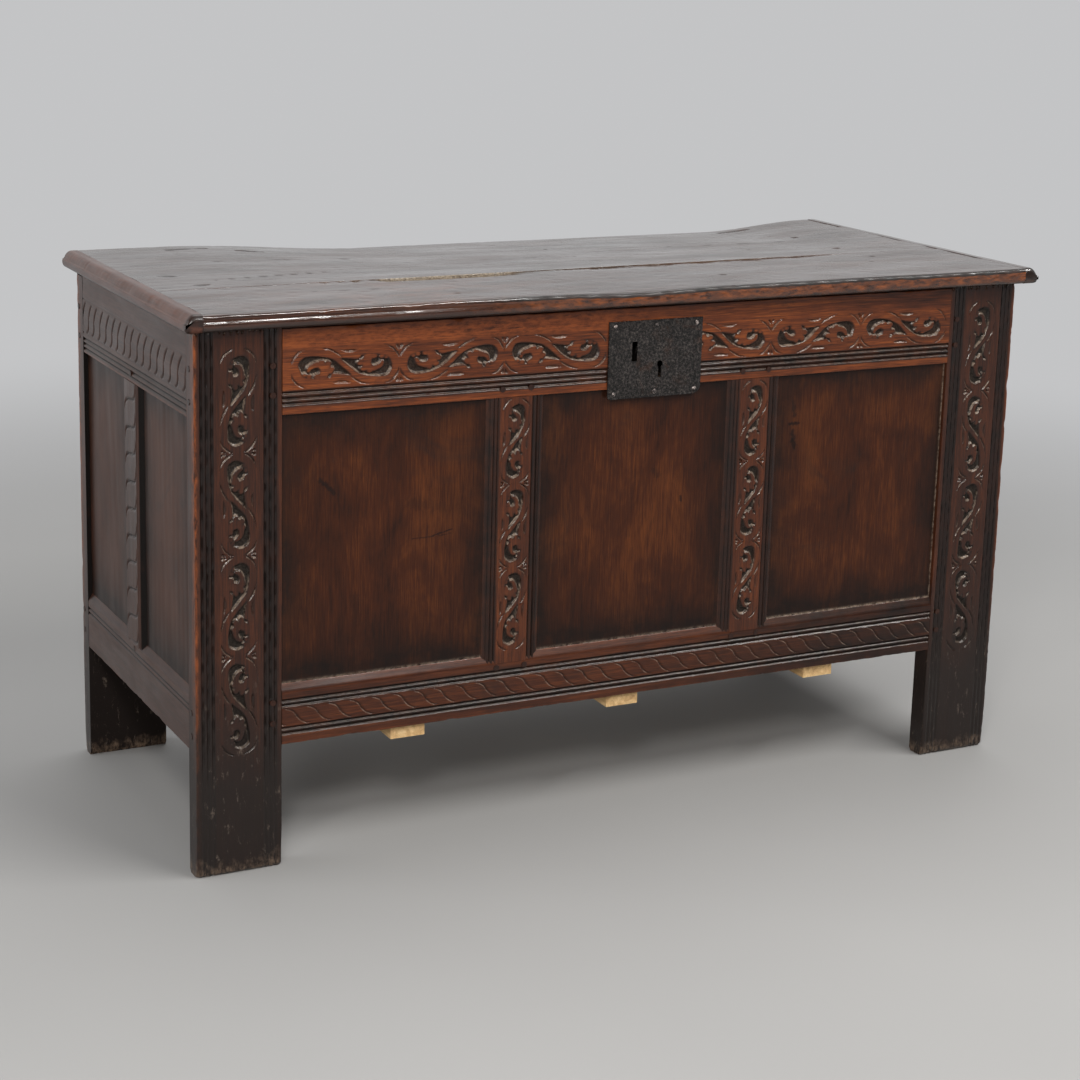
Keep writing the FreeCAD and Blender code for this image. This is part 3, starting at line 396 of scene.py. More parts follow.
GRIME = (0.008, 0.0050, 0.0038)
STAIN = (0.016, 0.010, 0.008)
# Colour of the dark attribute: painted shade in cuts, grooves, creases, undersides and shaded corners, and
# real soot in cracks and smudges.
SOOT_AND_SHADE = (0.0050, 0.0034, 0.0028)
GROUND_TONES = ((0.006, 0.005, 0.0042), (0.030, 0.025, 0.020))
# Pale wax in the carving, also painted as a highlight on the slopes that face up.
WAX_AND_HIGHLIGHT = (0.27, 0.20, 0.15)
# The colour a stile darkens to near the ground.
FOOT_DARK = (0.013, 0.009, 0.0075)
SCUFF = (0.15, 0.115, 0.09)
FRAYED = (0.17, 0.115, 0.08)
BROKEN_TONES = ((0.070, 0.048, 0.033), (0.42, 0.35, 0.26))


def feet_wear(wood, colour, amount):
    """Darkens a stile towards the ground, scuffs it there and frays the last centimetres."""
    height = wood.node("ShaderNodeSeparateXYZ", {0: wood.coords}).outputs["Z"]
    low = wood.span(wood.plus(height, wood.times(wood.noise(14, 4), 0.10)), 0.17, 0.34, 1.0, 0.0)
    colour = wood.tint(colour, FOOT_DARK, low, amount)
    scuffs = wood.span(wood.noise((110, 110, 40), 6, 0.82, 0.3), 0.585, 0.66)
    colour = wood.tint(colour, SCUFF, wood.times(low, scuffs), 0.6)
    tips = wood.span(wood.plus(height, wood.times(wood.noise(60, 4), 0.05)), 0.026, 0.046, 1.0, 0.0)
    frayed = wood.span(wood.noise((150, 150, 60), 5, 0.78), 0.42, 0.62)
    return wood.tint(colour, FRAYED, tips, frayed)


def oak(name, axis, tones, rough=(0.3, 0.52), coat=0.42, worn=(0.26, 0.066, 0.016), feet=0.0,
        shine=0.12, relief_height=0.0004, ground=GROUND_TONES, streaks=(210, 9), blotch=(16, 3.5),
        weights=(0.30, 0.34, 0.36), coat_rough=0.2, patchy=0.0):
    """Old polished oak: streaks and pores along the grain, blotches, grime and painted shade in hollows,
    pale wax with a painted highlight, worn arrises.
    """
    wood = Material(name)

    def grain(across, along, *more):
        return wood.noise(along_grain(axis, across, along), *more)

    broad = grain(*blotch, 4, 0.62, 0.5)
    streak = grain(*streaks, 4, 0.66, 0.4)
    fine = grain(760, 30, 3, 0.62, 0.2)
    pore = wood.span(grain(1500, 60, 2, 0.5), 0.6, 0.74)
    tone = wood.plus(wood.times(broad, weights[0]), wood.times(streak, weights[1]))
    tone = wood.plus(tone, wood.times(fine, weights[2]))
    colour = wood.ramp(tone, list(zip((0.34, 0.5, 0.66), tones)))
    colour = wood.tint(colour, GRIME, pore, 0.6)
    stain = wood.span(wood.noise(7, 5, 0.7, 1.2), 0.56, 0.74)
    colour = wood.tint(colour, STAIN, stain, 0.55)
    rub = wood.span(grain(170, 55, 5, 0.75), 0.38, 0.6)
    colour = wood.tint(colour, worn, wood.attribute("worn"), rub, True)
    # Painted shade and real soot: the dark attribute turns the wood near black.
    dark = wood.attribute("dark")
    uneven = wood.span(wood.noise(48, 4, 0.7), 0.3, 0.6, 0.72, 1.0)
    colour = wood.tint(colour, SOOT_AND_SHADE, dark, uneven, True)
    sunk = wood.attribute("sunk")
    stipple = wood.span(wood.noise(520, 2, 0.6), 0.35, 0.7)
    colour = wood.tint(colour, wood.blend(stipple, *ground), sunk, 0.92, True)
    # Pale wax with a painted highlight on up-facing slopes, and pale dust on panels, broken up by noise.
    pale_breakup = wood.span(wood.noise(150, 4, 0.7), 0.36, 0.6)
    colour = wood.blend(wood.times(wood.attribute("pale"), pale_breakup, True), colour, WAX_AND_HIGHLIGHT)
    if feet:
        colour = feet_wear(wood, colour, feet)

    raw = wood.attribute("raw")
    gloss = wood.span(grain(26, 8, 3, 0.55, 0.3), 0.3, 0.7, *rough)
    gloss = wood.plus(gloss, wood.times(sunk, 0.22), True)
    gloss = wood.math("MAXIMUM", gloss, wood.span(dark, 0.92, 1.0, 0.0, 0.75), True)
    gloss = wood.math("MAXIMUM", gloss, wood.times(raw, 0.55))
    clean = wood.span(wood.math("MAXIMUM", dark, sunk), 0.92, 1.0, 1.0, 0.1)
    clean = wood.math("SUBTRACT", clean, wood.times(raw, 0.85), True)
    if patchy:
        clean = wood.times(clean, wood.span(grain(9, 2.2, 2, 0.5, 0.3), 0.25, 0.75, 1 - patchy, 1.0))
    wood.look(Base_Color=colour, Roughness=gloss, Specular_IOR_Level=shine,
              Coat_Weight=wood.times(clean, coat), Coat_Roughness=coat_rough)

    relief = wood.plus(wood.times(fine, 0.5), wood.times(streak, 0.7))
    relief = wood.math("SUBTRACT", relief, wood.times(pore, 0.35))
    relief = wood.plus(relief, wood.times(wood.times(stipple, sunk), 0.9))
    relief = wood.plus(relief, wood.times(wood.noise(38, 3, 0.5), 0.8))
    wood.bump(relief, 0.55, relief_height)
    return wood.data


IRON_TONES = ((0.002, 0.0018, 0.0016), (0.022, 0.0185, 0.0175), (0.150, 0.128, 0.118))
RUST = (0.060, 0.026, 0.014)


def iron(name, tone):
    """Forged iron gone brown-black, with hammer dents, pits and rust in the low places."""
    metal = Material(name)
    mottle = metal.noise(70, 6, 0.68, 0.6)
    pits = metal.noise(290, 4, 0.75)
    shades = [tuple(tone * part for part in shade) for shade in IRON_TONES]
    colour = metal.ramp(metal.plus(metal.times(pits, 0.8), metal.times(mottle, 0.2)),
                        list(zip((0.43, 0.50, 0.61), shades)))
    rust = metal.span(metal.noise(32, 5, 0.7, 0.9), 0.56, 0.72)
    metal.look(Base_Color=metal.tint(colour, RUST, rust, 0.5), Specular_IOR_Level=0.3,
               Metallic=metal.span(pits, 0.44, 0.58, 0.0, 0.6),
               Roughness=metal.span(pits, 0.42, 0.58, 0.75, 0.3))
    metal.bump(metal.plus(metal.times(mottle, 0.8), metal.times(pits, 0.7)), 1.0, 0.0022)
    return metal.data


PINE_TONES = ((0.38, 0.215, 0.088), (0.58, 0.375, 0.170), (0.72, 0.51, 0.265))
PINE_SMEAR = (0.30, 0.21, 0.12)


def pale_wood(name, axis):
    """Raw newer softwood, with its yearly rings as stripes and a few grey smears."""
    wood = Material(name)
    rings = wood.noise(along_grain(axis, 130, 5), 3, 0.55, 0.8)
    hairs = wood.noise(along_grain(axis, 700, 25), 2, 0.5)
    tone = wood.plus(wood.times(rings, 0.75), wood.times(hairs, 0.25))
    colour = wood.ramp(tone, list(zip((0.32, 0.5, 0.68), PINE_TONES)))
    smear = wood.span(wood.noise(22, 5, 0.7, 0.8), 0.56, 0.76)
    wood.look(Base_Color=wood.tint(colour, PINE_SMEAR, smear, 0.4),
              Roughness=wood.span(hairs, 0.3, 0.7, 0.6, 0.8))
    wood.bump(tone, 0.5, 0.0006)
    return wood.data


# Each oak's dark, middle and light tone.
FRAME_TONES = ((0.011, 0.0048, 0.0033), (0.036, 0.0112, 0.0056), (0.082, 0.0232, 0.0090))
RAIL_TONES = ((0.018, 0.0062, 0.0034), (0.108, 0.0260, 0.0074), (0.270, 0.072, 0.0155))
MUNTIN_TONES = ((0.015, 0.0056, 0.0032), (0.062, 0.0160, 0.0058), (0.140, 0.038, 0.0110))
PANEL_TONES = ((0.0152, 0.0050, 0.0027), (0.045, 0.0115, 0.0038), (0.108, 0.0305, 0.0074))
END_PANEL_TONES = ((0.040, 0.0150, 0.0085), (0.062, 0.0235, 0.0130), (0.084, 0.033, 0.0180))
LID_TONES = ((0.012, 0.0060, 0.0042), (0.034, 0.0130, 0.0080), (0.066, 0.026, 0.0140))
STRIP_TONES = ((0.026, 0.0105, 0.0070), (0.070, 0.0240, 0.0140), (0.130, 0.046, 0.0260))
END_TONES = ((0.020, 0.0095, 0.0066), (0.048, 0.0200, 0.0130), (0.078, 0.034, 0.0220))
BOARD_TONES = ((0.06, 0.036, 0.022), (0.13, 0.085, 0.052), (0.2, 0.135, 0.085))
PEG_TONES = ((0.009, 0.0042, 0.0028), (0.022, 0.0075, 0.0042), (0.045, 0.014, 0.0065))
POLISHED = {"rough": (0.16, 0.34), "coat": 0.5, "coat_rough": 0.08, "shine": 0.5,
            "relief_height": 0.00015}

MATERIALS = {
    "stile": oak("oak_stile", "z", FRAME_TONES, feet=0.92),
    "rail_top": oak("oak_rail_top", "x", RAIL_TONES),
    "rail_low": oak("oak_rail_low", "x", MUNTIN_TONES),
    "muntin": oak("oak_muntin", "z", MUNTIN_TONES),
    "end_rail": oak("oak_end_rail", "y", END_TONES),
    "end_muntin": oak("oak_end_muntin", "z", END_TONES),
    "panel": oak("oak_panel_front", "z", PANEL_TONES, rough=(0.34, 0.52), coat=0.19, streaks=(260, 26),
                 blotch=(14, 8), weights=(0.50, 0.15, 0.35), relief_height=0.0002),
    "end_panel": oak("oak_panel_end", "z", END_PANEL_TONES, rough=(0.4, 0.55), coat=0.25,
                     blotch=(12, 7), weights=(0.50, 0.15, 0.35), relief_height=0.00006),
    "lid": oak("oak_lid_top", "x", LID_TONES, patchy=0.22, ground=BROKEN_TONES,
               worn=(0.185, 0.052, 0.0140), **POLISHED),
    "strip": oak("oak_lid_strip", "y", STRIP_TONES, rough=(0.25, 0.45), coat=0.35, shine=0.3,
                 relief_height=0.0002, worn=(0.120, 0.042, 0.020)),
    "strip_right": oak("oak_lid_strip_right", "y", LID_TONES, worn=(0.05, 0.02, 0.012), **POLISHED),
    "board": oak("oak_floor_board", "x", BOARD_TONES, rough=(0.6, 0.8), coat=0.0),
    "peg": oak("oak_peg", "y", PEG_TONES),
    "batten": pale_wood("softwood_batten", "y"),
    "iron": iron("iron_dark", 0.55),
    "nail": iron("iron_nail", 4.0),
}

# ---- swept timbers


def ticks(low, high, step, fine=(), fine_step=1.2):
    """Places from low to high: step apart, and fine_step apart inside the fine stretches."""
    marks = [low, high]
    edges = sorted({low, high, *[min(max(v, low), high) for pair in fine for v in pair]})
    for start, end in zip(edges[:-1], edges[1:]):
        middle = (start + end) / 2
        dense = any(a <= middle <= b for a, b in fine)
        count = max(1, int(math.ceil((end - start) / (fine_step if dense else step))))
        marks.extend(np.linspace(start, end, count + 1))
    return np.unique(np.round(marks, 4))


def edge_ticks(edge, inward):
    """Extra places near an edge, for the rounding of an arris; inward is how far they go in."""
    return edge + inward * np.array([0.02, 0.07, 0.16, 0.29, 0.46, 0.68, 1.0])


def with_edges(marks, low, high, wide=3.5):
    """The marks with extra places near both edges, and none within 0.18 of the one before."""
    columns = np.concatenate([marks, edge_ticks(low, wide), edge_ticks(high, -wide)])
    columns = np.unique(np.round(columns, 2))
    columns = columns[np.concatenate([[True], np.diff(columns) > 0.18])]
    columns[-1] = high
    return columns


def dense_columns(low, high, step, fine=(), fine_step=1.2):
    return with_edges(ticks(low, high, step, fine, fine_step), low, high)


def corner(distance, radius):
    """How far the surface falls away at a distance from an edge rounded to a radius."""
    radius = np.maximum(radius, 1e-4)
    inside = np.clip(radius - distance, 0, radius)
    return radius - np.sqrt(np.maximum(radius ** 2 - inside ** 2, 0))


def worn_edge(rows, seed):
    """Unevenness of an arris along its length, from long waves down to small ripples, about 0 to 1."""
    return (0.45 * Noise(seed)(rows / 230.0) + 0.35 * Noise(seed + 50)(rows / 61.0)
            + 0.2 * Noise(seed + 90)(rows / 17.0))


def knocks(rows, seed):
    """Scattered chips along an arris: most are small, a few go deep."""
    draw = np.random.default_rng(seed)
    total = np.zeros(len(rows))
    for _ in range(int((rows[-1] - rows[0]) / 26.0)):
        at = draw.uniform(rows[0], rows[-1])
        deep = min(draw.exponential(0.33), 1.0)
        long = draw.uniform(1.5, 5.0) * (1 + 1.2 * deep)
        total = np.maximum(total, deep * np.exp(-(np.abs(rows - at) / long) ** 2.6))
    return total


def write_mesh(name, points, quads, caps, layers, sharp=58.0):
    mesh = bpy.data.meshes.new(name)
    loops = np.concatenate([quads.ravel(), *caps]).astype(np.int32)
    sizes = np.concatenate([np.full(len(quads), 4), [len(cap) for cap in caps]]).astype(np.int32)
    starts = np.concatenate([[0], np.cumsum(sizes)[:-1]]).astype(np.int32)
    mesh.vertices.add(len(points))
    mesh.vertices.foreach_set("co", (points * MM).astype(np.float32).ravel())
    mesh.loops.add(len(loops))
    mesh.loops.foreach_set("vertex_index", loops)
    mesh.polygons.add(len(sizes))
    mesh.polygons.foreach_set("loop_start", starts)
    mesh.update(calc_edges=True)
    for layer, numbers in layers.items():
        mesh.attributes.new(layer, "FLOAT", "POINT").data.foreach_set(
            "value", np.asarray(numbers, np.float32).ravel())
    mesh.polygons.foreach_set("use_smooth", np.ones(len(sizes), bool))
    mesh.set_sharp_from_angle(angle=math.radians(sharp))
    mesh.validate()
    return mesh


def swept_mesh(name, points, layers):
    """A closed skin over rings of points: one ring to a row, each running round the timber."""
    count, around = points.shape[:2]
    index = np.arange(count * around).reshape(count, around)
    beside = np.roll(index, -1, axis=1)
    quads = np.stack([index[:-1], beside[:-1], beside[1:], index[1:]], axis=-1).reshape(-1, 4)
    caps = [index[0][::-1], index[-1]]
    points = points.reshape(-1, 3)
    a, b, c, d = (points[quads[:, k]] - points[0] for k in range(4))
    volume = np.sum(np.cross(a, b) * c) + np.sum(np.cross(a, c) * d)
    if volume < 0:
        quads, caps = quads[:, ::-1], [cap[::-1] for cap in caps]
    return write_mesh(name, points, quads, caps, layers)


def add_piece(name, mesh, body, material, node):
    piece = bpy.data.objects.new(name, mesh)
    bpy.context.scene.collection.objects.link(piece)
    mesh.materials.append(MATERIALS[material])
    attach(piece, body)
    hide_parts(node)


def wax_and_highlight_on_slopes(rows, columns, depth, carved, up):
    """How pale the wax and painted highlight are on those slopes of the carving that look towards the end
    of the up axis.
    """
    slopes = np.gradient(depth, rows, columns)
    rise, aside = slopes if up == "along" else slopes[::-1]
    return np.clip(4 * carved - 0.1, 0, 1) * ease((0.85 * rise + 0.3 * np.abs(aside) - 0.4) / 0.6)


# Shares of the way down a side, and how much of the arris's wear is left there.
SIDE_STEPS = ((0.06, 0.9), (0.2, 0.5), (0.45, 0.12), (0.7, 0.0), (0.9, 0.0))


def side_loops(edge, inward, top, base, radius, shaded):
    """Loops down a timber's side: across, depth, share of the arris's wear, and painted shade, which is
    shaded at the foot of a square side and grows round a rounded underside.
    """
    loops = [(edge, top + (base - radius - top) * share, fade, 0.0) for share, fade in SIDE_STEPS]
    if not radius:
        return loops + [(edge, base, 0.15, shaded)]
    for step in range(6):
        angle = step / 5 * math.pi / 2
        loops.append((edge + inward * radius * (1 - math.cos(angle)),
                      base - radius + radius * math.sin(angle), 0.0, min(0.3 * step, 0.95)))
    return loops


# How strong the pale wax and painted highlight are in carving and on mouldings.
CARVING_WAX_AND_HIGHLIGHT, MOULDING_WAX_AND_HIGHLIGHT = 0.85, 0.22
LAP_THICK = 14.0
RAW_BACK = 1.5


def timber(name, node, place, rows, columns, thick, relief, arris, seed, under=(0.0, 0.0),
           ends=(0.0, 0.0), chips=(0.0, 0.0), rough=0.25, wear=(0.6, 0.6), edge_wear=None, up=None,
           waxed=(-1e4, 1e4), dust=None, dark_sides=False, shaded=0.0, shoulder=None, body="case",
           slot="oak_frame", material="stile"):
    """A timber swept along its rows: relief and wear on its face, worn arrises, plain back.

    place turns (along, across, depth) into x, y and z. relief gives depth, groundwork, darkness, much of
    it painted shade, and, if it likes, how far the face is lightened with the worn colour: rubbed bare on
    the lid, painted light on the top rail. Pairs belong to the low and the high edge: arris and under are
    radii at the face and at the back, chips is how deep knocks go, wear how worn an arris is. An arris may
    be a function that also gives how far it is broken open. ends holds the radii of both ends, edge_wear
    the wear all down the low side. up is the axis whose slopes take pale wax and a painted highlight,
    waxed the stretch across in which carving lies, and dust adds pale dust. dark_sides carries the face's
    darkness down the sides, and shaded paints shade on the back; a rounded underside always gets painted
    shade.
    Below the shoulder only the lap over a rail is left.
    """
    low, high = columns[0], columns[-1]
    along, across = np.meshgrid(rows, columns, indexing="ij")
    nothing = np.zeros(along.shape)
    zero = np.zeros((len(rows), 1))
    depth, sunk, dark, *rubbed = relief(along, across) if relief else (nothing,) * 3
    pale = nothing
    if up:
        carving = (across > waxed[0]) & (across < waxed[1])
        pale = wax_and_highlight_on_slopes(rows, columns, depth, sunk + dark, up)
        pale = pale * np.where(carving, CARVING_WAX_AND_HIGHLIGHT, MOULDING_WAX_AND_HIGHLIGHT)
    if dust:
        pale = np.maximum(pale, dust(along, across))
    depth = depth + rough * Noise(seed)(along / 130.0, across / 34.0)
    worn = rubbed[0] if rubbed else nothing
    bared = [zero, zero]
    for side, (radius, chip) in enumerate(zip(arris, chips)):
        if callable(radius):
            radius, broken = radius(rows)
            bared[side] = (broken + 0.0 * rows)[:, None]
        size = radius + np.minimum(radius, 1.6) * (worn_edge(rows, seed + 11 + side) - 0.5)
        if chip:
            size = size + chip * knocks(rows, seed + 21 + side)
        size = size[:, None]
        distance = (high - across) if side else (across - low)
        depth = depth + corner(distance, size)
        past = np.maximum(distance - 0.4 * size, 0)
        worn = np.maximum(worn, wear[side] * np.exp(-past / 1.3))
        sunk = np.maximum(sunk, bared[side] * np.exp(-past / 2.5))
    base = np.full(len(rows), float(thick))
    for radius, edge in zip(ends, (rows - rows[0], rows[-1] - rows)):
        if radius:
            depth = depth + corner(edge, radius)[:, None]
            base = base - corner(edge, radius * 0.8)
    depth = np.minimum(depth, thick - max(under) - 0.5)
    if shoulder:
        base = np.where(rows < shoulder, LAP_THICK, base)

    strips = [(across, depth, sunk, dark, worn, pale)]
    for side, edge, inward, at in ((1, high, -1, -1), (0, low, 1, 0)):
        loops = side_loops(edge, inward, depth[:, at], base, under[side], shaded)
        for out, down, fade, painted_shade in (loops if side else loops[::-1]):
            bare = edge_wear(rows)[:, None] if edge_wear and not side else fade * wear[side] + zero
            strips.append((out + zero, down[:, None], min(fade * 2, 1.0) * bared[side] + zero,
                           np.maximum(dark[:, [at]] * dark_sides, painted_shade), bare, zero))
        if side:
            inner_low, inner_high = low + under[0], high - under[1]
            strips.extend((inner_low + (inner_high - inner_low) * share + zero, base[:, None],
                           zero, zero + shaded, zero, zero) for share in (0.8, 0.6, 0.4, 0.2))
    across, depth, *looks = (np.hstack(parts) for parts in zip(*strips))
    along = np.repeat(rows[:, None], across.shape[1], axis=1)
    layers = dict(zip(("sunk", "dark", "worn", "pale"), looks), raw=depth > thick - RAW_BACK)
    mesh = swept_mesh(name, np.stack(place(along, across, depth), axis=-1), layers)
    add_piece(name, mesh, body, material, node)


def on_side(axis, outer, inward, upright):
    """Where a timber's own (along, across, depth) lie on one side of the case."""
    def place(along, across, depth):
        level, height = (across, along) if upright else (along, across)
        face = outer + inward * depth
        return (level, face, height) if axis == "y" else (face, level, height)
    return place


# The places of a level and of an upright timber on each side.
SIDES = {side: [on_side(axis, outer, inward, upright) for upright in (False, True)]
         for side, axis, outer, inward in (("front", "y", -CASE_Y, 1), ("back", "y", CASE_Y, -1),
                                           ("left_end", "x", -CASE_X, 1),
                                           ("right_end", "x", CASE_X, -1))}


def member(node, ending, rows, columns, relief, arris, **more):
    """A rail or muntin of one of the case's four frames."""
    side = next(side for side in SIDES if node.startswith(side))
    place = SIDES[side][node.endswith("muntin")]
    timber(f"{node}_{ending}", node, place, rows, columns, RAIL_THICK, relief, arris, **more)


def rail_rows(low, high, *steps):
    return ticks(low + JOINT_GAP, high - JOINT_GAP, *steps)


def muntin_rows(step):
    """Rows of a muntin whose foot laps over the chamfer of the bottom rail."""
    rows = ticks(BOTTOM_RAIL[1] - RAIL_CHAMFER[0], TOP_RAIL[0], step)
    return np.union1d(rows, [BOTTOM_RAIL[1] - 0.1, BOTTOM_RAIL[1]])


# ---- stiles

CARVED_TOP, CARVED_UNIT = 662.0, 127.0
CARVED_MIDDLE, CARVED_HALF = 54.5, 23.0
STILE_REEDS = (8.5, 15.1, 21.7)
STILE_MOULDED = ((4, 27), (83, 107))
STILE_CARVED, STILE_CARVED_Z = (28, 82), (148, 686)
STILE_CORNER, CORNER_RUN = 6.0, 24
FOOT_BATTER = 45


def stile_relief(outer, inward, seed):
    """The scrolls run down the face; outer is the x of the outer arris, inward +1 or -1."""
    units = [(CARVED_TOP - i * CARVED_UNIT, CARVED_TOP - (i + 1) * CARVED_UNIT, i % 2 == 1)
             for i in range(4)]
    marks = [*STILE_REEDS, *[STILE_WIDTH - mark for mark in STILE_REEDS]]
    middle = outer + inward * (CARVED_MIDDLE if inward > 0 else STILE_WIDTH - CARVED_MIDDLE)

    def relief(along, across):
        inner = (across - outer) * inward
        band = reeds(inner, marks)
        depth, sunk, dark = scroll_band(along, across, units, middle, CARVED_HALF, seed)
        chatter = Noise(seed + 5)(along / 21.0, across / 9.0)
        torn = 7.0 * np.clip((Noise(seed + 6)(across / 7.0) - 0.42) / 0.5, 0, 1)
        notch = ease((along - STILE_HEIGHT + torn) / 1.8) * (torn > 0.3)
        band = band * (0.72 + 0.36 * chatter) * (0.45 + 0.55 * ease((along - 90) / 110))
        shade = in_shade(np.minimum(inner, STILE_WIDTH - inner), 6.0, 24.0, 0.85)
        return (top_of(depth, 2.2 * notch, band), np.maximum(sunk, 0.5 * notch),
                top_of(dark, groove_shade(band), shade))
    return relief


def stile_place(post, outer):
    """A stile's own place, with the outer corner of its top rounded."""
    def place(along, across, depth):
        fall = corner(np.abs(across - outer), STILE_CORNER)
        share = np.clip((along - STILE_HEIGHT + CORNER_RUN) / CORNER_RUN, 0, 1)
        return post(along - fall * share, across, depth)
    return place


def battered(radius):
    """An arris that gets rounder over the last centimetres of a foot, and is nowhere broken open."""
    def size(rows):
        return radius * (1 + 1.3 * ease((FOOT_BATTER - rows) / FOOT_BATTER)), 0.0
    return size


def front_stile(outer, inward, low, high, seed):
    """Rows, columns and relief of a carved stile."""
    moulded, carved = ([tuple(sorted((outer + inward * a, outer + inward * b))) for a, b in pairs]
                       for pairs in (STILE_MOULDED, [STILE_CARVED]))
    columns = np.union1d(ticks(low, high, 2.4, carved, 1.1), ticks(low, high, 3.0, moulded, 0.85))
    return ticks(0, STILE_HEIGHT, 4.5, [STILE_CARVED_Z], 1.25), columns, stile_relief(outer, inward, seed)


def stiles():
    for side in ("front", "back"):
        for hand, outer, inward in (("left", -CASE_X, 1), ("right", CASE_X, -1)):
            node = f"{side}_{hand}_stile"
            low, high = sorted((outer, outer + inward * STILE_WIDTH))
            seed = 100 + 7 * len(node) + (3 if hand == "left" else 0)
            # The back stiles' backs are painted dark as shade.
            looks = {"ending": "worn", "up": None, "shaded": 1.2}
            rows, marks, relief = ticks(0, STILE_HEIGHT, 6.0), ticks(low, high, 6.0), None
            if side == "front":
                looks = {"ending": "carved", "up": "along", "shaded": 0.0}
                rows, marks, relief = front_stile(outer, inward, low, high, seed)
            arris, chips, wear = (battered(3.0), battered(1.6)), (3.0, 1.0), (0.9, 0.12)
            if hand == "right":
                arris, chips, wear = arris[::-1], chips[::-1], wear[::-1]
            timber(f"{node}_{looks.pop('ending')}", node, stile_place(SIDES[side][1], outer), rows,
                   with_edges(marks, low, high, 4.5), STILE_THICK, relief, arris, ends=(4.5, 2.0),
                   chips=chips, wear=wear, seed=seed, **looks)


# ---- rails and muntins of the front

TOP_BAND = (631.5, 24.5)  # middle and half height
TOP_CARVED_X, TOP_CARVED, TOP_MOULDED = (-482, 486), (607, 658), (585, 607)
TOP_CARVING_SPAN, LOW_CARVING_SPAN = (605.5, 662), (183, 208)
# Start, end and whether it is mirrored, for each scroll of the top rail.
TOP_UNITS = [(-479.4, -338, False), (-338, -195, True), (-195, -50, False),
             (55, 198, False), (198, 341, True), (341, 484, False)]
TOP_REEDS = (590.0, 596.6, 603.2)
LOW_REEDS = (216.5, 209.9, 180.6, 174.0)
LOW_BAND, LOW_CARVED = (183.5, 207.0), (170, 221)
LOW_MOULDED = ((171.5, 183.0), (207.5, 219.5))
LOZENGE_PITCH = 28.9
CHAMFER_SHADE = 0.35
WORKS_X, WORKS_Z, WORKS_DEEP = (-34.0, 76.0), (588.5, 652.0), 25.0


def top_rail_relief(along, across):
    """Scrolls left and right of the middle, a moulding below, and the mortise for the lock's works."""
    band = reeds(across, TOP_REEDS)
    left = scroll_band(along, across, TOP_UNITS[:3], *TOP_BAND, 41)
    right = scroll_band(along, across, TOP_UNITS[3:], *TOP_BAND, 47)
    depth, sunk, dark = (np.maximum(a, b) for a, b in zip(left, right))
    works = ((along > WORKS_X[0]) & (along < WORKS_X[1])
             & (across > WORKS_Z[0]) & (across < WORKS_Z[1]))
    moulding = in_shade(across, 586.0, 606.5, 0.88 + 0.1 * ease((along - 60) / 120))
    # Painted shade under the lid along the rail's top edge; the lock's mortise is painted black as shade
    # too.
    top = ease((across - TOP_RAIL[1] + 3.0) / 2.0)
    right_end = 0.45 * ease((along - 60) / 380) * Noise(208)(along / 130.0, across / 25.0)
    dark = top_of(dark, 1.5 * works, groove_shade(band), moulding, top, right_end)
    # Painted light: the strip just under the lid at the left is lightened with the worn colour, against
    # the lid's shadow.
    rub = 0.65 * ease((across - 652.0) / 10.0) * ease((120.0 - along) / 220.0)
    return np.where(works, WORKS_DEEP, np.maximum(depth, band)), sunk, dark, rub


def lozenges(along, across):
    """S-shaped cuts, each from the upper border to the lower, with a deep nick at its middle."""
    low, high = LOW_BAND
    depth = np.zeros(along.shape)
    draw = np.random.default_rng(61)
    start = -FRONT_SHOULDER - 10
    rise = high - low
    for index in range(int(2 * (FRONT_SHOULDER + 20) / LOZENGE_PITCH) + 1):
        x = start + index * LOZENGE_PITCH + draw.uniform(-1.5, 1.5)
        line = [(x - 25, high - 0.6), (x - 14, high - 1.2), (x - 5, high - 0.22 * rise),
                (x, (low + high) / 2), (x + 5, low + 0.25 * rise), (x + 13, low + 1.3),
                (x + 21, low + 0.6)]
        near = np.abs(along - x) < 30
        depth[near] = np.maximum(depth[near], cut_line(along[near], across[near], line, 1.7, 1.9))
        spot = np.hypot((along - x) / 2.2, (across - (low + high) / 2) / 3.4)
        depth = np.maximum(depth, 2.0 * ease(1 - spot))
    return depth


def low_rail_relief(along, across):
    low, high = LOW_BAND
    band = reeds(across, LOW_REEDS)
    cuts = np.where((across > low - 0.5) & (across < high + 0.5), lozenges(along, across), 0)
    slope = chamfer(BOTTOM_RAIL[1] - across, RAIL_CHAMFER)
    mouldings = [in_shade(across, *ends, 0.95) for ends in LOW_MOULDED]
    # Painted shade on the chamfer, in the grooves, cuts and mouldings; towards the right end the rail
    # darkens as well.
    shade_and_grime = np.where(slope > 0.1, CHAMFER_SHADE, top_of(groove_shade(band), cuts / 2.2, *mouldings))
    right = ease((along + 20) / 400) * (0.6 + 0.4 * Noise(207)(along / 90.0, across / 30.0))
    return top_of(band, slope, cuts), 0.0, np.maximum(shade_and_grime, 0.22 + 0.72 * right)


MUNTIN_UNITS, MUNTIN_HALF = 3, 20.5
MUNTIN_REEDS = (5.0, 10.5, 16.0)


def muntin_relief(middle, half_width, seed):
    top, bottom = TOP_RAIL[0] - 2.0, BOTTOM_RAIL[1] + 6.0
    unit = (top - bottom) / MUNTIN_UNITS
    units = [(top - i * unit, top - (i + 1) * unit, False) for i in range(MUNTIN_UNITS)]

    def relief(along, across):
        edge = half_width - np.abs(across - middle)
        depth, sunk, dark = scroll_band(along, across, units, middle, MUNTIN_HALF, seed)
        band = reeds(edge, MUNTIN_REEDS)
        slope = chamfer(edge, MUNTIN_CHAMFER)
        shade = in_shade(edge, -5.0, MUNTIN_REEDS[-1] + 2.0, 0.8)
        depth = np.maximum(depth, np.where(edge < MUNTIN_CHAMFER[0], slope + 0.5 * band, band))
        return depth, sunk, top_of(dark, shade, groove_shade(band))
    return relief


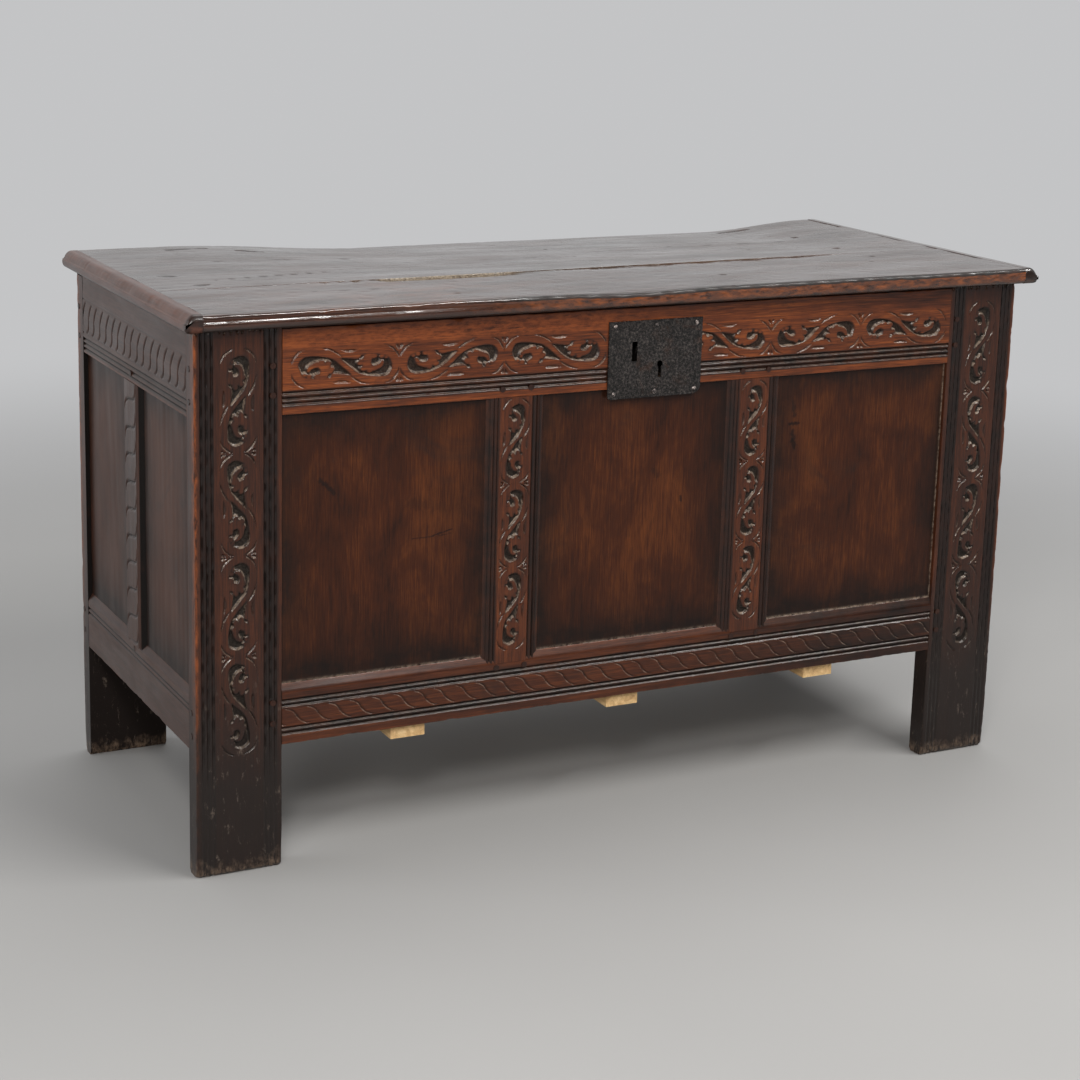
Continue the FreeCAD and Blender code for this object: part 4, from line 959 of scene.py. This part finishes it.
def front_members():
    rows = rail_rows(-FRONT_SHOULDER, FRONT_SHOULDER, 3.0, [TOP_CARVED_X], 1.3)
    columns = np.union1d(dense_columns(*TOP_RAIL, 3.5, [TOP_CARVED], 1.1), ticks(*TOP_MOULDED, 0.8))
    member("front_top_rail", "carved", rows, columns, top_rail_relief, (1.0, 2.0), chips=(0.4, 3.0),
           up="across", waxed=TOP_CARVING_SPAN, material="rail_top", seed=201)
    member("front_bottom_rail", "carved", rail_rows(-FRONT_SHOULDER, FRONT_SHOULDER, 1.3),
           dense_columns(*BOTTOM_RAIL, 2.5, [LOW_CARVED], 0.85), low_rail_relief, (1.8, 0.5),
           chips=(3.0, 0.3), up="across", waxed=LOW_CARVING_SPAN, material="rail_low", seed=202)
    for hand, seed in (("left", 203), ("right", 204)):
        node = f"front_{hand}_muntin"
        low, high = reach(node, 0)
        middle, half = (low + high) / 2, (high - low) / 2
        member(node, "carved", muntin_rows(1.25),
               dense_columns(low, high, 2.0, [(middle - 30, middle + 30)], 1.1),
               muntin_relief(middle, half, seed), (0.5, 0.5), up="along", shoulder=BOTTOM_RAIL[1],
               material="muntin", seed=seed)


# ---- rails and muntins of the ends

END_BAND = (606.0, 648.0)
END_TOP_CARVED, END_TOP_CARVING_SPAN, END_LOW_MOULDED = (577, 656), (602, 656), (203, 224)
END_PITCH = 27.0
END_TOP_REEDS, END_LOW_REEDS = (583.0, 589.6, 596.2), (216.5, 209.9)
END_CUT = 2.2
TWIST_PITCH = 36.0
TWIST_BACK, TWIST_FRONT = 31.0, -12.0
TWIST_CUT = 2.6
END_BEADS = (-17.0, -22.5)


def end_top_relief(along, across):
    """Pairs of S-shaped cuts between two scratched borders, over a moulding."""
    low, high = END_BAND
    rise = high - low
    depth = reeds(across, END_TOP_REEDS) * 0.9
    draw = np.random.default_rng(71)
    for index in range(18):
        start = END_FRONT - 8 + index * END_PITCH + draw.uniform(-1.5, 1.5)
        near = np.abs(along - start - 10) < 24
        for line in ([(start - 4, high), (start + 4, high - 0.16 * rise),
                      (start + 10, high - 0.38 * rise), (start + 12, high - 0.55 * rise)],
                     [(start + 13, high - 0.42 * rise), (start + 12.5, low + 0.26 * rise),
                      (start + 16, low + 0.08 * rise), (start + 24, low)]):
            cut = cut_line(along[near], across[near], line, END_CUT, END_CUT)
            depth[near] = np.maximum(depth[near], cut)
    for border in (low - 1, high + 2.5):
        depth = np.maximum(depth, 0.9 * np.clip(1 - np.abs(across - border) / 1.3, 0, 1))
    # The cuts and reeds are darkened by their depth, as painted shade.
    return depth, 0.0, np.clip(depth / 1.9, 0, 1)


def end_low_relief(along, across):
    slope = chamfer(BOTTOM_RAIL[1] - across, RAIL_CHAMFER)
    band = 0.8 * reeds(across, END_LOW_REEDS)
    dark = np.maximum(1.2 * groove_shade(band), CHAMFER_SHADE * (slope > 0.1))
    return np.maximum(band, slope), 0.0, dark


def end_muntin_relief(low, high):
    """A cable: S-shaped cuts that cross a flat band, beside two thin beads."""
    def relief(along, across):
        edge = np.minimum(across - low, high - across)
        depth = np.maximum(0.8 * reeds(across, END_BEADS), chamfer(edge, MUNTIN_CHAMFER))
        # Painted shade: the chamfers beside the panels are near black, and the band darkens with depth.
        dark = np.where(edge < MUNTIN_CHAMFER[0] + 1, 1.2, 0.7 * depth / MUNTIN_CHAMFER[1])
        draw = np.random.default_rng(83)
        for index in range(int((TOP_RAIL[0] - BOTTOM_RAIL[1]) / TWIST_PITCH) + 1):
            z = TOP_RAIL[0] - 24 - index * TWIST_PITCH + draw.uniform(-1, 1)
            line = [(z - 15, TWIST_BACK), (z - 8, TWIST_BACK - 0.5), (z - 2.5, TWIST_BACK - 5),
                    (z, TWIST_BACK - 14), (z + 2, TWIST_FRONT + 12), (z + 5.5, TWIST_FRONT + 4),
                    (z + 12, TWIST_FRONT + 0.5), (z + 23, TWIST_FRONT)]
            cut = cut_line(along, across, line, TWIST_CUT, TWIST_CUT)
            depth = np.maximum(depth, cut)
            # Painted shade in each cut.
            dark = np.maximum(dark, 0.9 * cut / TWIST_CUT)
        return depth, 0.0, dark
    return relief


def end_members():
    for side, seed in (("left_end", 301), ("right_end", 321)):
        member(f"{side}_top_rail", "carved", rail_rows(END_FRONT, END_BACK, 1.5),
               dense_columns(*TOP_RAIL, 3.5, [END_TOP_CARVED], 1.3), end_top_relief, (1.0, 2.0),
               chips=(0.4, 2.0), up="across", waxed=END_TOP_CARVING_SPAN, material="end_rail", seed=seed)
        member(f"{side}_bottom_rail", "worn", rail_rows(END_FRONT, END_BACK, 3.0),
               dense_columns(*BOTTOM_RAIL, 3.0, [END_LOW_MOULDED], 1.0), end_low_relief, (1.8, 0.5),
               chips=(2.0, 0.3), wear=(0.2, 0.2), material="end_rail", seed=seed + 1)
        low, high = reach(f"{side}_muntin", 1)
        member(f"{side}_muntin", "carved", muntin_rows(1.5),
               dense_columns(low, high, 2.0, [(TWIST_FRONT - 14, TWIST_BACK + 3)], 1.1),
               end_muntin_relief(low, high), (0.5, 0.5), shoulder=BOTTOM_RAIL[1],
               material="end_muntin", seed=seed + 2)


# ---- back frame


def back_members():
    for rail, span, arris, chips, seed in (("top", TOP_RAIL, (1.0, 1.5), (0.4, 1.5), 601),
                                           ("bottom", BOTTOM_RAIL, (1.5, 1.0), (1.5, 0.4), 602)):
        member(f"back_{rail}_rail", "worn", rail_rows(-FRONT_SHOULDER, FRONT_SHOULDER, 8.0),
               dense_columns(*span, 8.0), None, arris, chips=chips, material="rail_low", seed=seed)
    for hand, seed in (("left", 603), ("right", 604)):
        node = f"back_{hand}_muntin"
        low, high = reach(node, 0)
        member(node, "worn", ticks(BOTTOM_RAIL[1], TOP_RAIL[0], 8.0), dense_columns(low, high, 8.0),
               None, (0.8, 0.8), material="muntin", seed=seed)


# ---- panels

PANELS = {
    "front": ("left", "middle", "right"),
    "back": ("left", "middle", "right"),
    "left_end": ("front", "back"),
    "right_end": ("front", "back"),
}
# Smudges and scratches: x and z of both ends, half width and how dark.
PANEL_MARKS = {
    "front_left_panel": [
        (-439, 491, -421, 474, 3.6, 0.80),
        (-317, 451, -273, 442, 9.0, 0.35),
        (-315, 405, -286, 405, 0.9, 0.80),
        (-287, 406, -261, 412, 1.1, 0.95),
        (-279, 405, -262, 407, 0.8, 0.85),
        (-391, 337, -387, 278, 7.0, 0.35)],
    "front_middle_panel": [
        (72, 424, 73, 418, 2.0, 0.90),
        (29, 463, 36, 456, 5.0, 0.40)],
    "front_right_panel": [
        (243, 540, 245, 521, 4.0, 0.75),
        (238, 509, 252, 509, 3.0, 0.98),
        (243, 499, 246, 489, 4.2, 0.85),
        (244, 485, 247, 477, 5.0, 0.98),
        (289, 435, 294, 432, 4.0, 0.35)],
}
MARK_ROOM = 5


def panel_marks(along, across, marks):
    dark = np.zeros(np.shape(along))
    for x, z, end_x, end_z, half, amount in marks:
        far, _ = segment_distance(across, along, (x, z), (end_x, end_z))
        ragged = half * (0.5 + 0.9 * Noise(abs(x))(across / 6.0, along / 9.0))
        dark = np.maximum(dark, amount * ease(1.4 - far / ragged))
    return dark


def panel_relief(low, high, seed, marks):
    """Faint plane marks; painted shade and some grime darken the borders and the foot, with smudges over
    them.
    """
    def relief(along, across):
        edge = np.minimum(np.minimum(across - low, high - across),
                          np.minimum(along - BOTTOM_RAIL[1], TOP_RAIL[0] - along))
        ragged = edge - 16 * Noise(seed)(along / 110.0, across / 110.0)
        foot = np.clip((along - BOTTOM_RAIL[1]) / 110.0, 0, 1)
        # Painted shade along the borders beside the frame and over the foot.
        shade_and_grime = 0.82 * np.exp(-np.maximum(ragged, 0) / 32.0) + 0.30 * (1 - foot) ** 2
        waves = 0.35 * Noise(seed + 1)(along / 260.0, across / 26.0)
        shade_and_grime = np.maximum(np.clip(shade_and_grime, 0, 0.9), panel_marks(along, across, marks))
        return waves, 0.0, shade_and_grime
    return relief


def panel_dust(foot, border, much):
    """Pale dust along a panel's foot and, where there is much, up its right border too."""
    def dust(along, across):
        low_line = (1.0 if much else 0.55) * np.exp(-(np.maximum(along - foot, 0) / 2.2) ** 2)
        side_line = much * np.exp(-(np.maximum(border - across, 0) / 1.8) ** 2)
        return np.maximum(low_line, side_line)
    return dust


def panels():
    for side, names in PANELS.items():
        post = SIDES[side][1]
        axis = 1 if "end" in side else 0
        row_step, column_step = (12.0, 12.0) if side == "back" else (4.0, 3.0)

        def place(along, across, depth, post=post):
            return post(along, across, depth + PANEL_SET)

        for index, label in enumerate(names):
            node = f"{side}_{label}_panel"
            (left, right), (low, high) = reach(node, axis), reach(node, 2)
            seed = 400 + 13 * len(side) + 5 * index
            foot, border = BOTTOM_RAIL[1], right - PANEL_TONGUE
            marks = PANEL_MARKS.get(node, ())
            marked_x, marked_z = ([(min(m[a], m[a + 2]) - MARK_ROOM, max(m[a], m[a + 2]) + MARK_ROOM)
                                   for m in marks] for a in (0, 1))
            rows = ticks(low + 0.5, high - 0.5, row_step, [(foot - 1, foot + 7), *marked_z], 1.0)
            columns = ticks(left + 0.5, right - 0.5, column_step,
                            [(border - 7, border + 1), *marked_x], 1.0)
            dust = panel_dust(foot, border, node == "front_right_panel") if side == "front" else None
            timber(f"{node}_board", node, place, rows, columns, PANEL_THICK,
                   panel_relief(left, right, seed, marks), (0.2, 0.2), rough=0.0, wear=(0.0, 0.0),
                   dust=dust, slot="oak_panel", material="end_panel" if "end" in side else "panel",
                   seed=seed)


# ---- lid
# Across a plank is from its front edge or the seam to the back; depth is down from the top.

LID_SKEW = (6.0, 3.0)  # at the left and the right end
PLANK_END = LID_X - STRIP_WIDTH
SEAM_REACH = (179.0, 202.0)  # width of the front plank at its left and right end
SEAM = tuple(-LID_Y + reach for reach in SEAM_REACH)
SEAM_GAP = 1.0
FIXED_FRONT = 40
BACK_SPAN = 1000.0


def skewed(x, y, z):
    """The lid's two ends close in slightly towards the back, the left one more."""
    share = (y + LID_Y) / (2 * LID_Y)
    return x + share * np.where(x < 0, -LID_SKEW[0] * x, -LID_SKEW[1] * x) / LID_X, y, z


def seam_slant(along):
    """How far the seam has moved back between the lid's left end and here."""
    return (along + LID_X - STRIP_WIDTH) / (2 * PLANK_END) * (SEAM[1] - SEAM[0])


NOSE_SET, NOSE_REACH = 2.4, 14.0
NOSE_BEAD = (8.5, 13.0)  # depths between which the face comes out to the bead
NOSE_WHOLE = (-310.0, -130.0)


def nose_set(along, across, depth):
    """The front edge keeps a bead along its lower part at the left, and is worn flat to the right."""
    whole = ease((NOSE_WHOLE[1] - along) / (NOSE_WHOLE[1] - NOSE_WHOLE[0]))
    above = 1 - ease((depth - NOSE_BEAD[0]) / (NOSE_BEAD[1] - NOSE_BEAD[0]))
    ragged = 0.45 * (1 - whole) * Noise(509)(along / 13.0, depth / 5.0)
    step = NOSE_SET * (0.12 + 0.88 * whole) * above + ragged
    return step * np.clip((NOSE_REACH - across) / 9, 0, 1)


def lid_front(along, across, depth):
    """The front plank widens to the right: its back edge follows the slanted seam."""
    narrow = SEAM_REACH[0]
    width = narrow + seam_slant(along)
    back = np.maximum(across - FIXED_FRONT, 0) / (narrow - FIXED_FRONT) * (width - FIXED_FRONT)
    front = np.minimum(across, FIXED_FRONT) + nose_set(along, across, depth)
    return skewed(along, -LID_Y + front + back, LID_TOP - depth)


def lid_back(along, across, depth):
    """across runs from 0 at the seam to BACK_SPAN at the back edge."""
    seam = SEAM[0] + seam_slant(along) + SEAM_GAP
    return skewed(along, seam + across / BACK_SPAN * (LID_Y - seam), LID_TOP - depth)


STRIP_SET = 2.0
STRIP_BEAD = (9.6, 11.4)


def lid_strip(hand):
    """The strips keep a bead along their outer sides, below a small worn step; hand is -1 or +1."""
    def place(along, across, depth):
        above = 1 - ease((depth - STRIP_BEAD[0]) / (STRIP_BEAD[1] - STRIP_BEAD[0]))
        ragged = 0.75 + 0.5 * Noise(511)(along / 110.0, depth / 25.0)
        step = STRIP_SET * above * ragged * np.clip((12 - across) / 8, 0, 1)
        return skewed(hand * (LID_X - across - step), along, LID_TOP - depth)
    return place


# Cracks and knots of the lid: x and y of both ends, half width and depth.
LID_MARKS = [(-481, 236, -422, 239, 3.5, 2.2), (-388, 218, -352, 205, 4.5, 2.6),
             (-560, 20, -538, 14, 5.0, 1.4), (-540, -66, -520, -62, 4.0, 2.0),
             (-500, -30, -330, 2, 1.2, 1.2), (-470, 120, -250, 131, 0.9, 0.8),
             (-120, 60, 60, 52, 0.8, 0.7), (412, 243, 470, 249, 5.0, 3.2),
             (472, 124, 480, 126, 3.0, 2.4), (456, -8, 464, -7, 3.0, 2.4),
             (451, -106, 456, -106, 2.6, 2.2), (330, 30, 337, 30, 2.2, 1.8),
             (150, -190, 158, -190, 3.0, 2.2), (-250, -215, -244, -214, 2.6, 2.0),
             (420, -150, 426, -149, 2.6, 2.0), (60, 150, 66, 150, 2.4, 1.8),
             (-420, -150, -300, -158, 0.8, 0.6), (200, 110, 470, 96, 0.9, 0.8)]


def lid_marks(x, y):
    depth = np.zeros(np.shape(x))
    for left, start, right, end, half, deep in LID_MARKS:
        far, along = segment_distance(x, y, (left, start), (right, end))
        ends = np.sin(np.pi * np.clip(along, 0.06, 0.94)) ** 0.6
        ragged = half * ends * (0.5 + 0.7 * Noise(abs(left) + 3)(x / 29.0, y / 17.0))
        depth = np.maximum(depth, deep * np.clip(1.25 - far / ragged, 0, 1))
    return depth


SEAM_BREAK = (-305.0, -55.0)
SEAM_STEP = 4.2
SEAM_SIDE = 26.0


def seam_open(rows):
    """How far the seam has broken open along its length, 0 to 1."""
    low, high = SEAM_BREAK
    wide = ease((rows - low + 12) / 35.0) * ease((high - rows) / 90.0)
    thin = 0.35 * ease((rows + 420) / 60.0) * ease((440 - rows) / 160.0)
    quiet = 0.3 + 0.4 * Noise(578)(rows / 120.0)
    return np.maximum(wide, thin * np.where(rows < low, Noise(577)(rows / 30.0), quiet))


def seam_radius(rows):
    """Arris of a plank at the seam, and how far it is broken and pale where the joint has opened."""
    opened = seam_open(rows)
    calm = 0.25 + 0.5 * Noise(572)(rows / 70.0)
    ragged = np.where(rows < SEAM_BREAK[1], Noise(571)(rows / 12.0), calm)
    return 0.6 + 1.8 * opened * ragged, opened


def nose_rub(rows):
    """The bare reddish wood of the worn front edge, from a third of its length to the right end."""
    bare = ease((rows + 290) / 200.0)
    return bare * (0.45 + 0.55 * Noise(505)(rows / 45.0)) + 0.08


SCOOP = (-10.0, 80.0, 3.2)  # middle, half width and depth
DIP = 13.5
DIP_ENDS = (-CASE_X + 140.0, -CASE_X + 430.0, CASE_X - 200.0)  # starts, is full, starts to end


def front_hollows(along, across):
    """The lean spot over the lock, and the sag along the broken seam."""
    middle, half, deep = SCOOP
    lean = np.exp(-((along - middle) / half) ** 2) * np.exp(-across / 22.0)
    sag = seam_open(along) * ease((across - SEAM_REACH[0] + SEAM_SIDE) / SEAM_SIDE)
    splinter = 0.75 + 0.5 * Noise(573)(along / 14.0, across / 7.0)
    splinter = np.where(along < SEAM_BREAK[1], splinter, 0.9)
    return deep * lean, SEAM_STEP * sag * splinter


def back_dip(along, across):
    """The top falls away to a thinner back edge between the dip's ends."""
    left, whole, right = DIP_ENDS
    amount = np.minimum(np.clip((along - left) / (whole - left), 0, 1),
                        np.clip((PLANK_END - along) / (PLANK_END - right), 0, 1))
    return DIP * ease(amount) * np.clip(across / BACK_SPAN, 0, 1)


def plank_relief(seed, front):
    """Plane waves, dents, hollows and marks of a lid plank, its stains and where it is rubbed."""
    def relief(along, across):
        plane = across if front else across * 0.34
        waves = 0.9 * Noise(seed)(along / 420.0, plane / 90.0)
        dents = Noise(seed + 1)(along / 34.0, plane / 26.0)
        depth = waves + 0.3 * np.clip((dents - 0.78) / 0.22, 0, 1)
        dark = 0.3 * np.clip((Noise(seed + 2)(along / 160.0, plane / 40.0) - 0.6) / 0.4, 0, 1)
        if front:
            lean, sag = front_hollows(along, across)
            depth = depth + lean + sag
        else:
            depth = depth + back_dip(along, across)
        _, y, _ = (lid_front if front else lid_back)(along, across, 0.0)
        marks = lid_marks(along, y)
        depth = depth + marks
        dark = np.maximum(dark, np.clip(marks, 0, 1))
        warm = np.clip(1 - np.hypot(along + 330, (y + 200) * 1.6) / 330.0, 0, 1)
        rub = 0.55 * ease(warm) * Noise(seed + 3)(along / 150.0, y / 50.0)
        if front:
            rub = np.maximum(rub, 0.45 * ease((3 - across) / 3) * nose_rub(along))
            dull = ease((5.5 - across) / 2.5) * ease((along + 330) / 160)
            dark = np.maximum(dark, dull * (0.965 + 0.035 * Noise(seed + 4)(along / 41.0)))
        return depth, 0.0, dark, rub
    return relief


def strip_relief(along, across):
    """A strip is plain, but its front end is dark."""
    return 0.0 * across, 0.0, 0.85 * ease((-LID_Y + 13 - along) / 9.0)


def places(*parts):
    return np.unique(np.round(np.concatenate(parts), 3))


def nosing(wide):
    """Ten places over a rounded front, closest together at its edge."""
    return wide * (1 - np.cos(np.linspace(0, np.pi / 2, 10)))


STRIP_COLUMNS = (0.02, 0.05, 0.09, 0.14, 0.25, 0.32, 0.5)


def lid():
    def plank(node, place, rows, columns, relief, arris, under, **more):
        timber(f"{node}_worn", node, place, rows, columns, LID_THICK, relief, arris, under=under,
               body="lid", slot="oak_lid", **more)

    rows = ticks(-PLANK_END, PLANK_END, 2.6)
    width = SEAM_REACH[0]
    plank("lid_front_plank", lid_front, rows,
          places(nosing(11.0), ticks(11, width, 3.0), edge_ticks(width, -3.0)),
          plank_relief(501, True), (5.0, seam_radius), (7.0, 0.0), chips=(1.6, 1.2), rough=0.2,
          wear=(0.03, 0.03), edge_wear=nose_rub, material="lid", seed=501)
    plank("lid_back_plank", lid_back, rows,
          places(ticks(0, BACK_SPAN, 11.0), edge_ticks(0, 9.0), edge_ticks(BACK_SPAN, -9.0)),
          plank_relief(521, False), (seam_radius, 1.2), (0.0, 0.0), chips=(1.2, 1.2), rough=0.2,
          wear=(0.05, 0.05), material="lid", seed=521)
    columns = places(nosing(12.5), STRIP_COLUMNS, ticks(12.5, STRIP_WIDTH, 2.5),
                     edge_ticks(STRIP_WIDTH, -2.0))
    for node, hand, look, seed in (("lid_left_strip", -1, "strip", 541),
                                   ("lid_right_strip", 1, "strip_right", 547)):
        plank(node, lid_strip(hand), ticks(-LID_Y, LID_Y, 2.5), columns, strip_relief, (12.4, 0.8),
              (5.0, 0.0), dark_sides=True, ends=(7.0, 2.0), chips=(0.9, 0.6), rough=0.3,
              wear=(0.3, 0.3), material=look, seed=seed)


# ---- lock plate nails

PLATE_FACE = -CASE_Y - 2.0
NAILS = [(x, z) for z in (658.0, 571.0) for x in (-39.0, 21.0, 81.0)]
NAIL_RINGS = ((3.1, 0.0), (3.0, 0.5), (2.3, 1.1), (1.2, 1.45), (0.4, 1.55))  # radius and rise
FACETS = 10


def nails():
    """Small hand-made heads: low domes of uneven rings."""
    draw = np.random.default_rng(91)
    points, quads, caps = [], [], []
    for x, z in NAILS:
        start = len(points)
        for radius, rise in NAIL_RINGS:
            for step in range(FACETS):
                angle = step / FACETS * 2 * math.pi + 0.2
                size = radius * draw.uniform(0.9, 1.1)
                points.append((x + size * math.cos(angle), PLATE_FACE - rise, z + size * math.sin(angle)))
        for ring in range(start, len(points) - FACETS, FACETS):
            for step in range(FACETS):
                a, b = ring + step, ring + (step + 1) % FACETS
                quads.append((a, b, b + FACETS, a + FACETS))
        caps.append(np.arange(start, start + FACETS)[::-1])
        caps.append(np.arange(len(points) - FACETS, len(points)))
    mesh = write_mesh("lockplate_nail_heads", np.array(points), np.array(quads), caps, {}, 40)
    add_piece("lockplate_nail_heads", mesh, "case", "nail", "lockplate_nails")


# ---- CAD nodes that stay

# Endings of node names and what they are made of; the others are iron.
KEPT = {"pegs": "peg", "batten": "batten", "board": "board", "dowels": "peg", "nails": "nail"}


def dress_kept():
    for name, node in frame["nodes"].items():
        if node.hide_render:
            continue
        look = next((KEPT[ending] for ending in KEPT if name.endswith(ending)), "iron")
        node.data.materials.clear()
        node.data.materials.append(MATERIALS[look])


# ---- camera, floor and light

CAMERA_PLACE = (-1.4351, -2.7423, 1.1628)
CAMERA_TURN = (0.22697817, -0.46777877, -0.02785614)
LENS, SENSOR = 75.75, 36.0
SHIFT = (0.0105, -0.0931)


def add_item(data, place, turn):
    item = bpy.data.objects.new(data.name, data)
    item.matrix_world = Matrix.Translation(place) @ turn.to_4x4()
    bpy.context.scene.collection.objects.link(item)
    return item


def camera():
    """The fitted camera: CAMERA_TURN is its axis times its angle, from a level view along +Y."""
    turn = Vector(CAMERA_TURN)
    right, down, ahead = Matrix.Rotation(turn.length, 3, turn) @ Matrix(((1, 0, 0), (0, 0, -1), (0, 1, 0)))
    data = bpy.data.cameras.new("camera")
    data.lens, data.sensor_width, data.sensor_fit = LENS, SENSOR, "HORIZONTAL"
    data.shift_x, data.shift_y = SHIFT
    data.clip_start, data.clip_end = 0.05, 200
    bpy.context.scene.camera = add_item(data, CAMERA_PLACE, Matrix((right, -down, -ahead)).transposed())


BACKGROUND = 0.56
BACKGROUND_TINT = (0.98, 0.985, 1.0, 1)
ROOM_TINT = (0.98, 0.99, 1.0, 1)
FLOOR = (0.335, 0.33, 0.325)
FLOOR_HALF = 30.0


def floor_plane():
    """A pale floor that fades into the background with the distance."""
    mesh = bpy.data.meshes.new("floor")
    corners = [(x * FLOOR_HALF, y * FLOOR_HALF, 0) for x, y in ((-1, -1), (1, -1), (1, 1), (-1, 1))]
    mesh.from_pydata(corners, [], [(0, 1, 2, 3)])
    plane = bpy.data.objects.new("floor", mesh)
    bpy.context.scene.collection.objects.link(plane)
    stage = Material("floor_pale")
    smooth = stage.noise(1.3, 3, 0.5)
    stage.look(Base_Color=stage.ramp(smooth, [(0.3, tuple(0.95 * c for c in FLOOR)), (0.7, FLOOR)]),
               Roughness=0.75)
    far = stage.node("ShaderNodeVectorMath", {0: stage.coords}, operation="LENGTH").outputs["Value"]
    fade = stage.node("ShaderNodeMapRange", {"Value": far, "From Min": 1.0, "From Max": 3.2},
                      interpolation_type="SMOOTHSTEP").outputs[0]
    eye = stage.node("ShaderNodeLightPath").outputs
    seen = stage.math("MAXIMUM", eye["Is Camera Ray"], eye["Is Glossy Ray"])
    glow = stage.node("ShaderNodeEmission", {"Color": BACKGROUND_TINT, "Strength": BACKGROUND})
    mix = stage.node("ShaderNodeMixShader", {0: stage.times(fade, seen), 1: stage.shader.outputs[0],
                                             2: glow.outputs[0]})
    stage.feed(stage.tree.nodes["Material Output"].inputs["Surface"], mix.outputs[0])
    mesh.materials.append(stage.data)


def world():
    """A room lit from the back and the right, and an even background for the eye."""
    sky = bpy.data.worlds.new("studio")
    bpy.context.scene.world = sky
    sky.use_nodes = True
    sky.node_tree.nodes.clear()
    studio = Nodes(sky.node_tree)
    around = studio.node("ShaderNodeTexCoord").outputs["Generated"]
    way = studio.node("ShaderNodeSeparateXYZ", {0: around}).outputs
    lean = studio.node("ShaderNodeMath", {0: way["X"], 1: 0.3, 2: way["Y"]},
                       operation="MULTIPLY_ADD").outputs[0]
    room = studio.node("ShaderNodeBackground", {
        "Color": ROOM_TINT, "Strength": studio.span(lean, -0.7, 0.8, 0.06, 0.60)})
    plain = studio.node("ShaderNodeBackground", {"Color": BACKGROUND_TINT, "Strength": BACKGROUND})
    eye = studio.node("ShaderNodeLightPath").outputs
    mix = studio.node("ShaderNodeMixShader", {0: eye["Is Camera Ray"], 1: room.outputs[0],
                                              2: plain.outputs[0]})
    studio.node("ShaderNodeOutputWorld", {"Surface": mix.outputs[0]})


# Name, place, aim, size, power and colour.
LAMPS = [
    ("key", (-1.6, -2.7, 2.1), (0.0, -0.1, 0.35), (0.5, 0.5), 45.0, (1.0, 0.985, 0.96)),
    ("front", (-2.6, -2.9, 1.5), (0.0, -0.1, 0.3), (0.9, 0.9), 35.0, (1.0, 0.985, 0.96)),
    ("left", (-3.2, 0.6, 1.9), (-0.3, 0.0, 0.4), (1.6, 1.6), 29.0, (0.97, 0.985, 1.0)),
    ("over", (0.4, 0.7, 3.4), (0.0, 0.0, 0.4), (2.4, 2.4), 40.0, (1.0, 1.0, 1.0)),
    ("strip", (1.35, -1.9, 2.7), (0.1, -0.2, 0.5), (2.6, 0.12), 92.0, (1.0, 0.99, 0.97)),
]


def lamps():
    for name, place, aim, size, power, colour in LAMPS:
        data = bpy.data.lights.new(name, "AREA")
        data.shape = "RECTANGLE"
        data.size, data.size_y = size
        data.energy = power
        data.color = colour
        look = Vector(aim) - Vector(place)
        add_item(data, place, look.to_track_quat("-Z", "Y").to_matrix())


stiles()
front_members()
end_members()
back_members()
panels()
lid()
nails()
dress_kept()
camera()
floor_plane()
world()
lamps()
bpy.context.scene.view_settings.view_transform = "Standard"
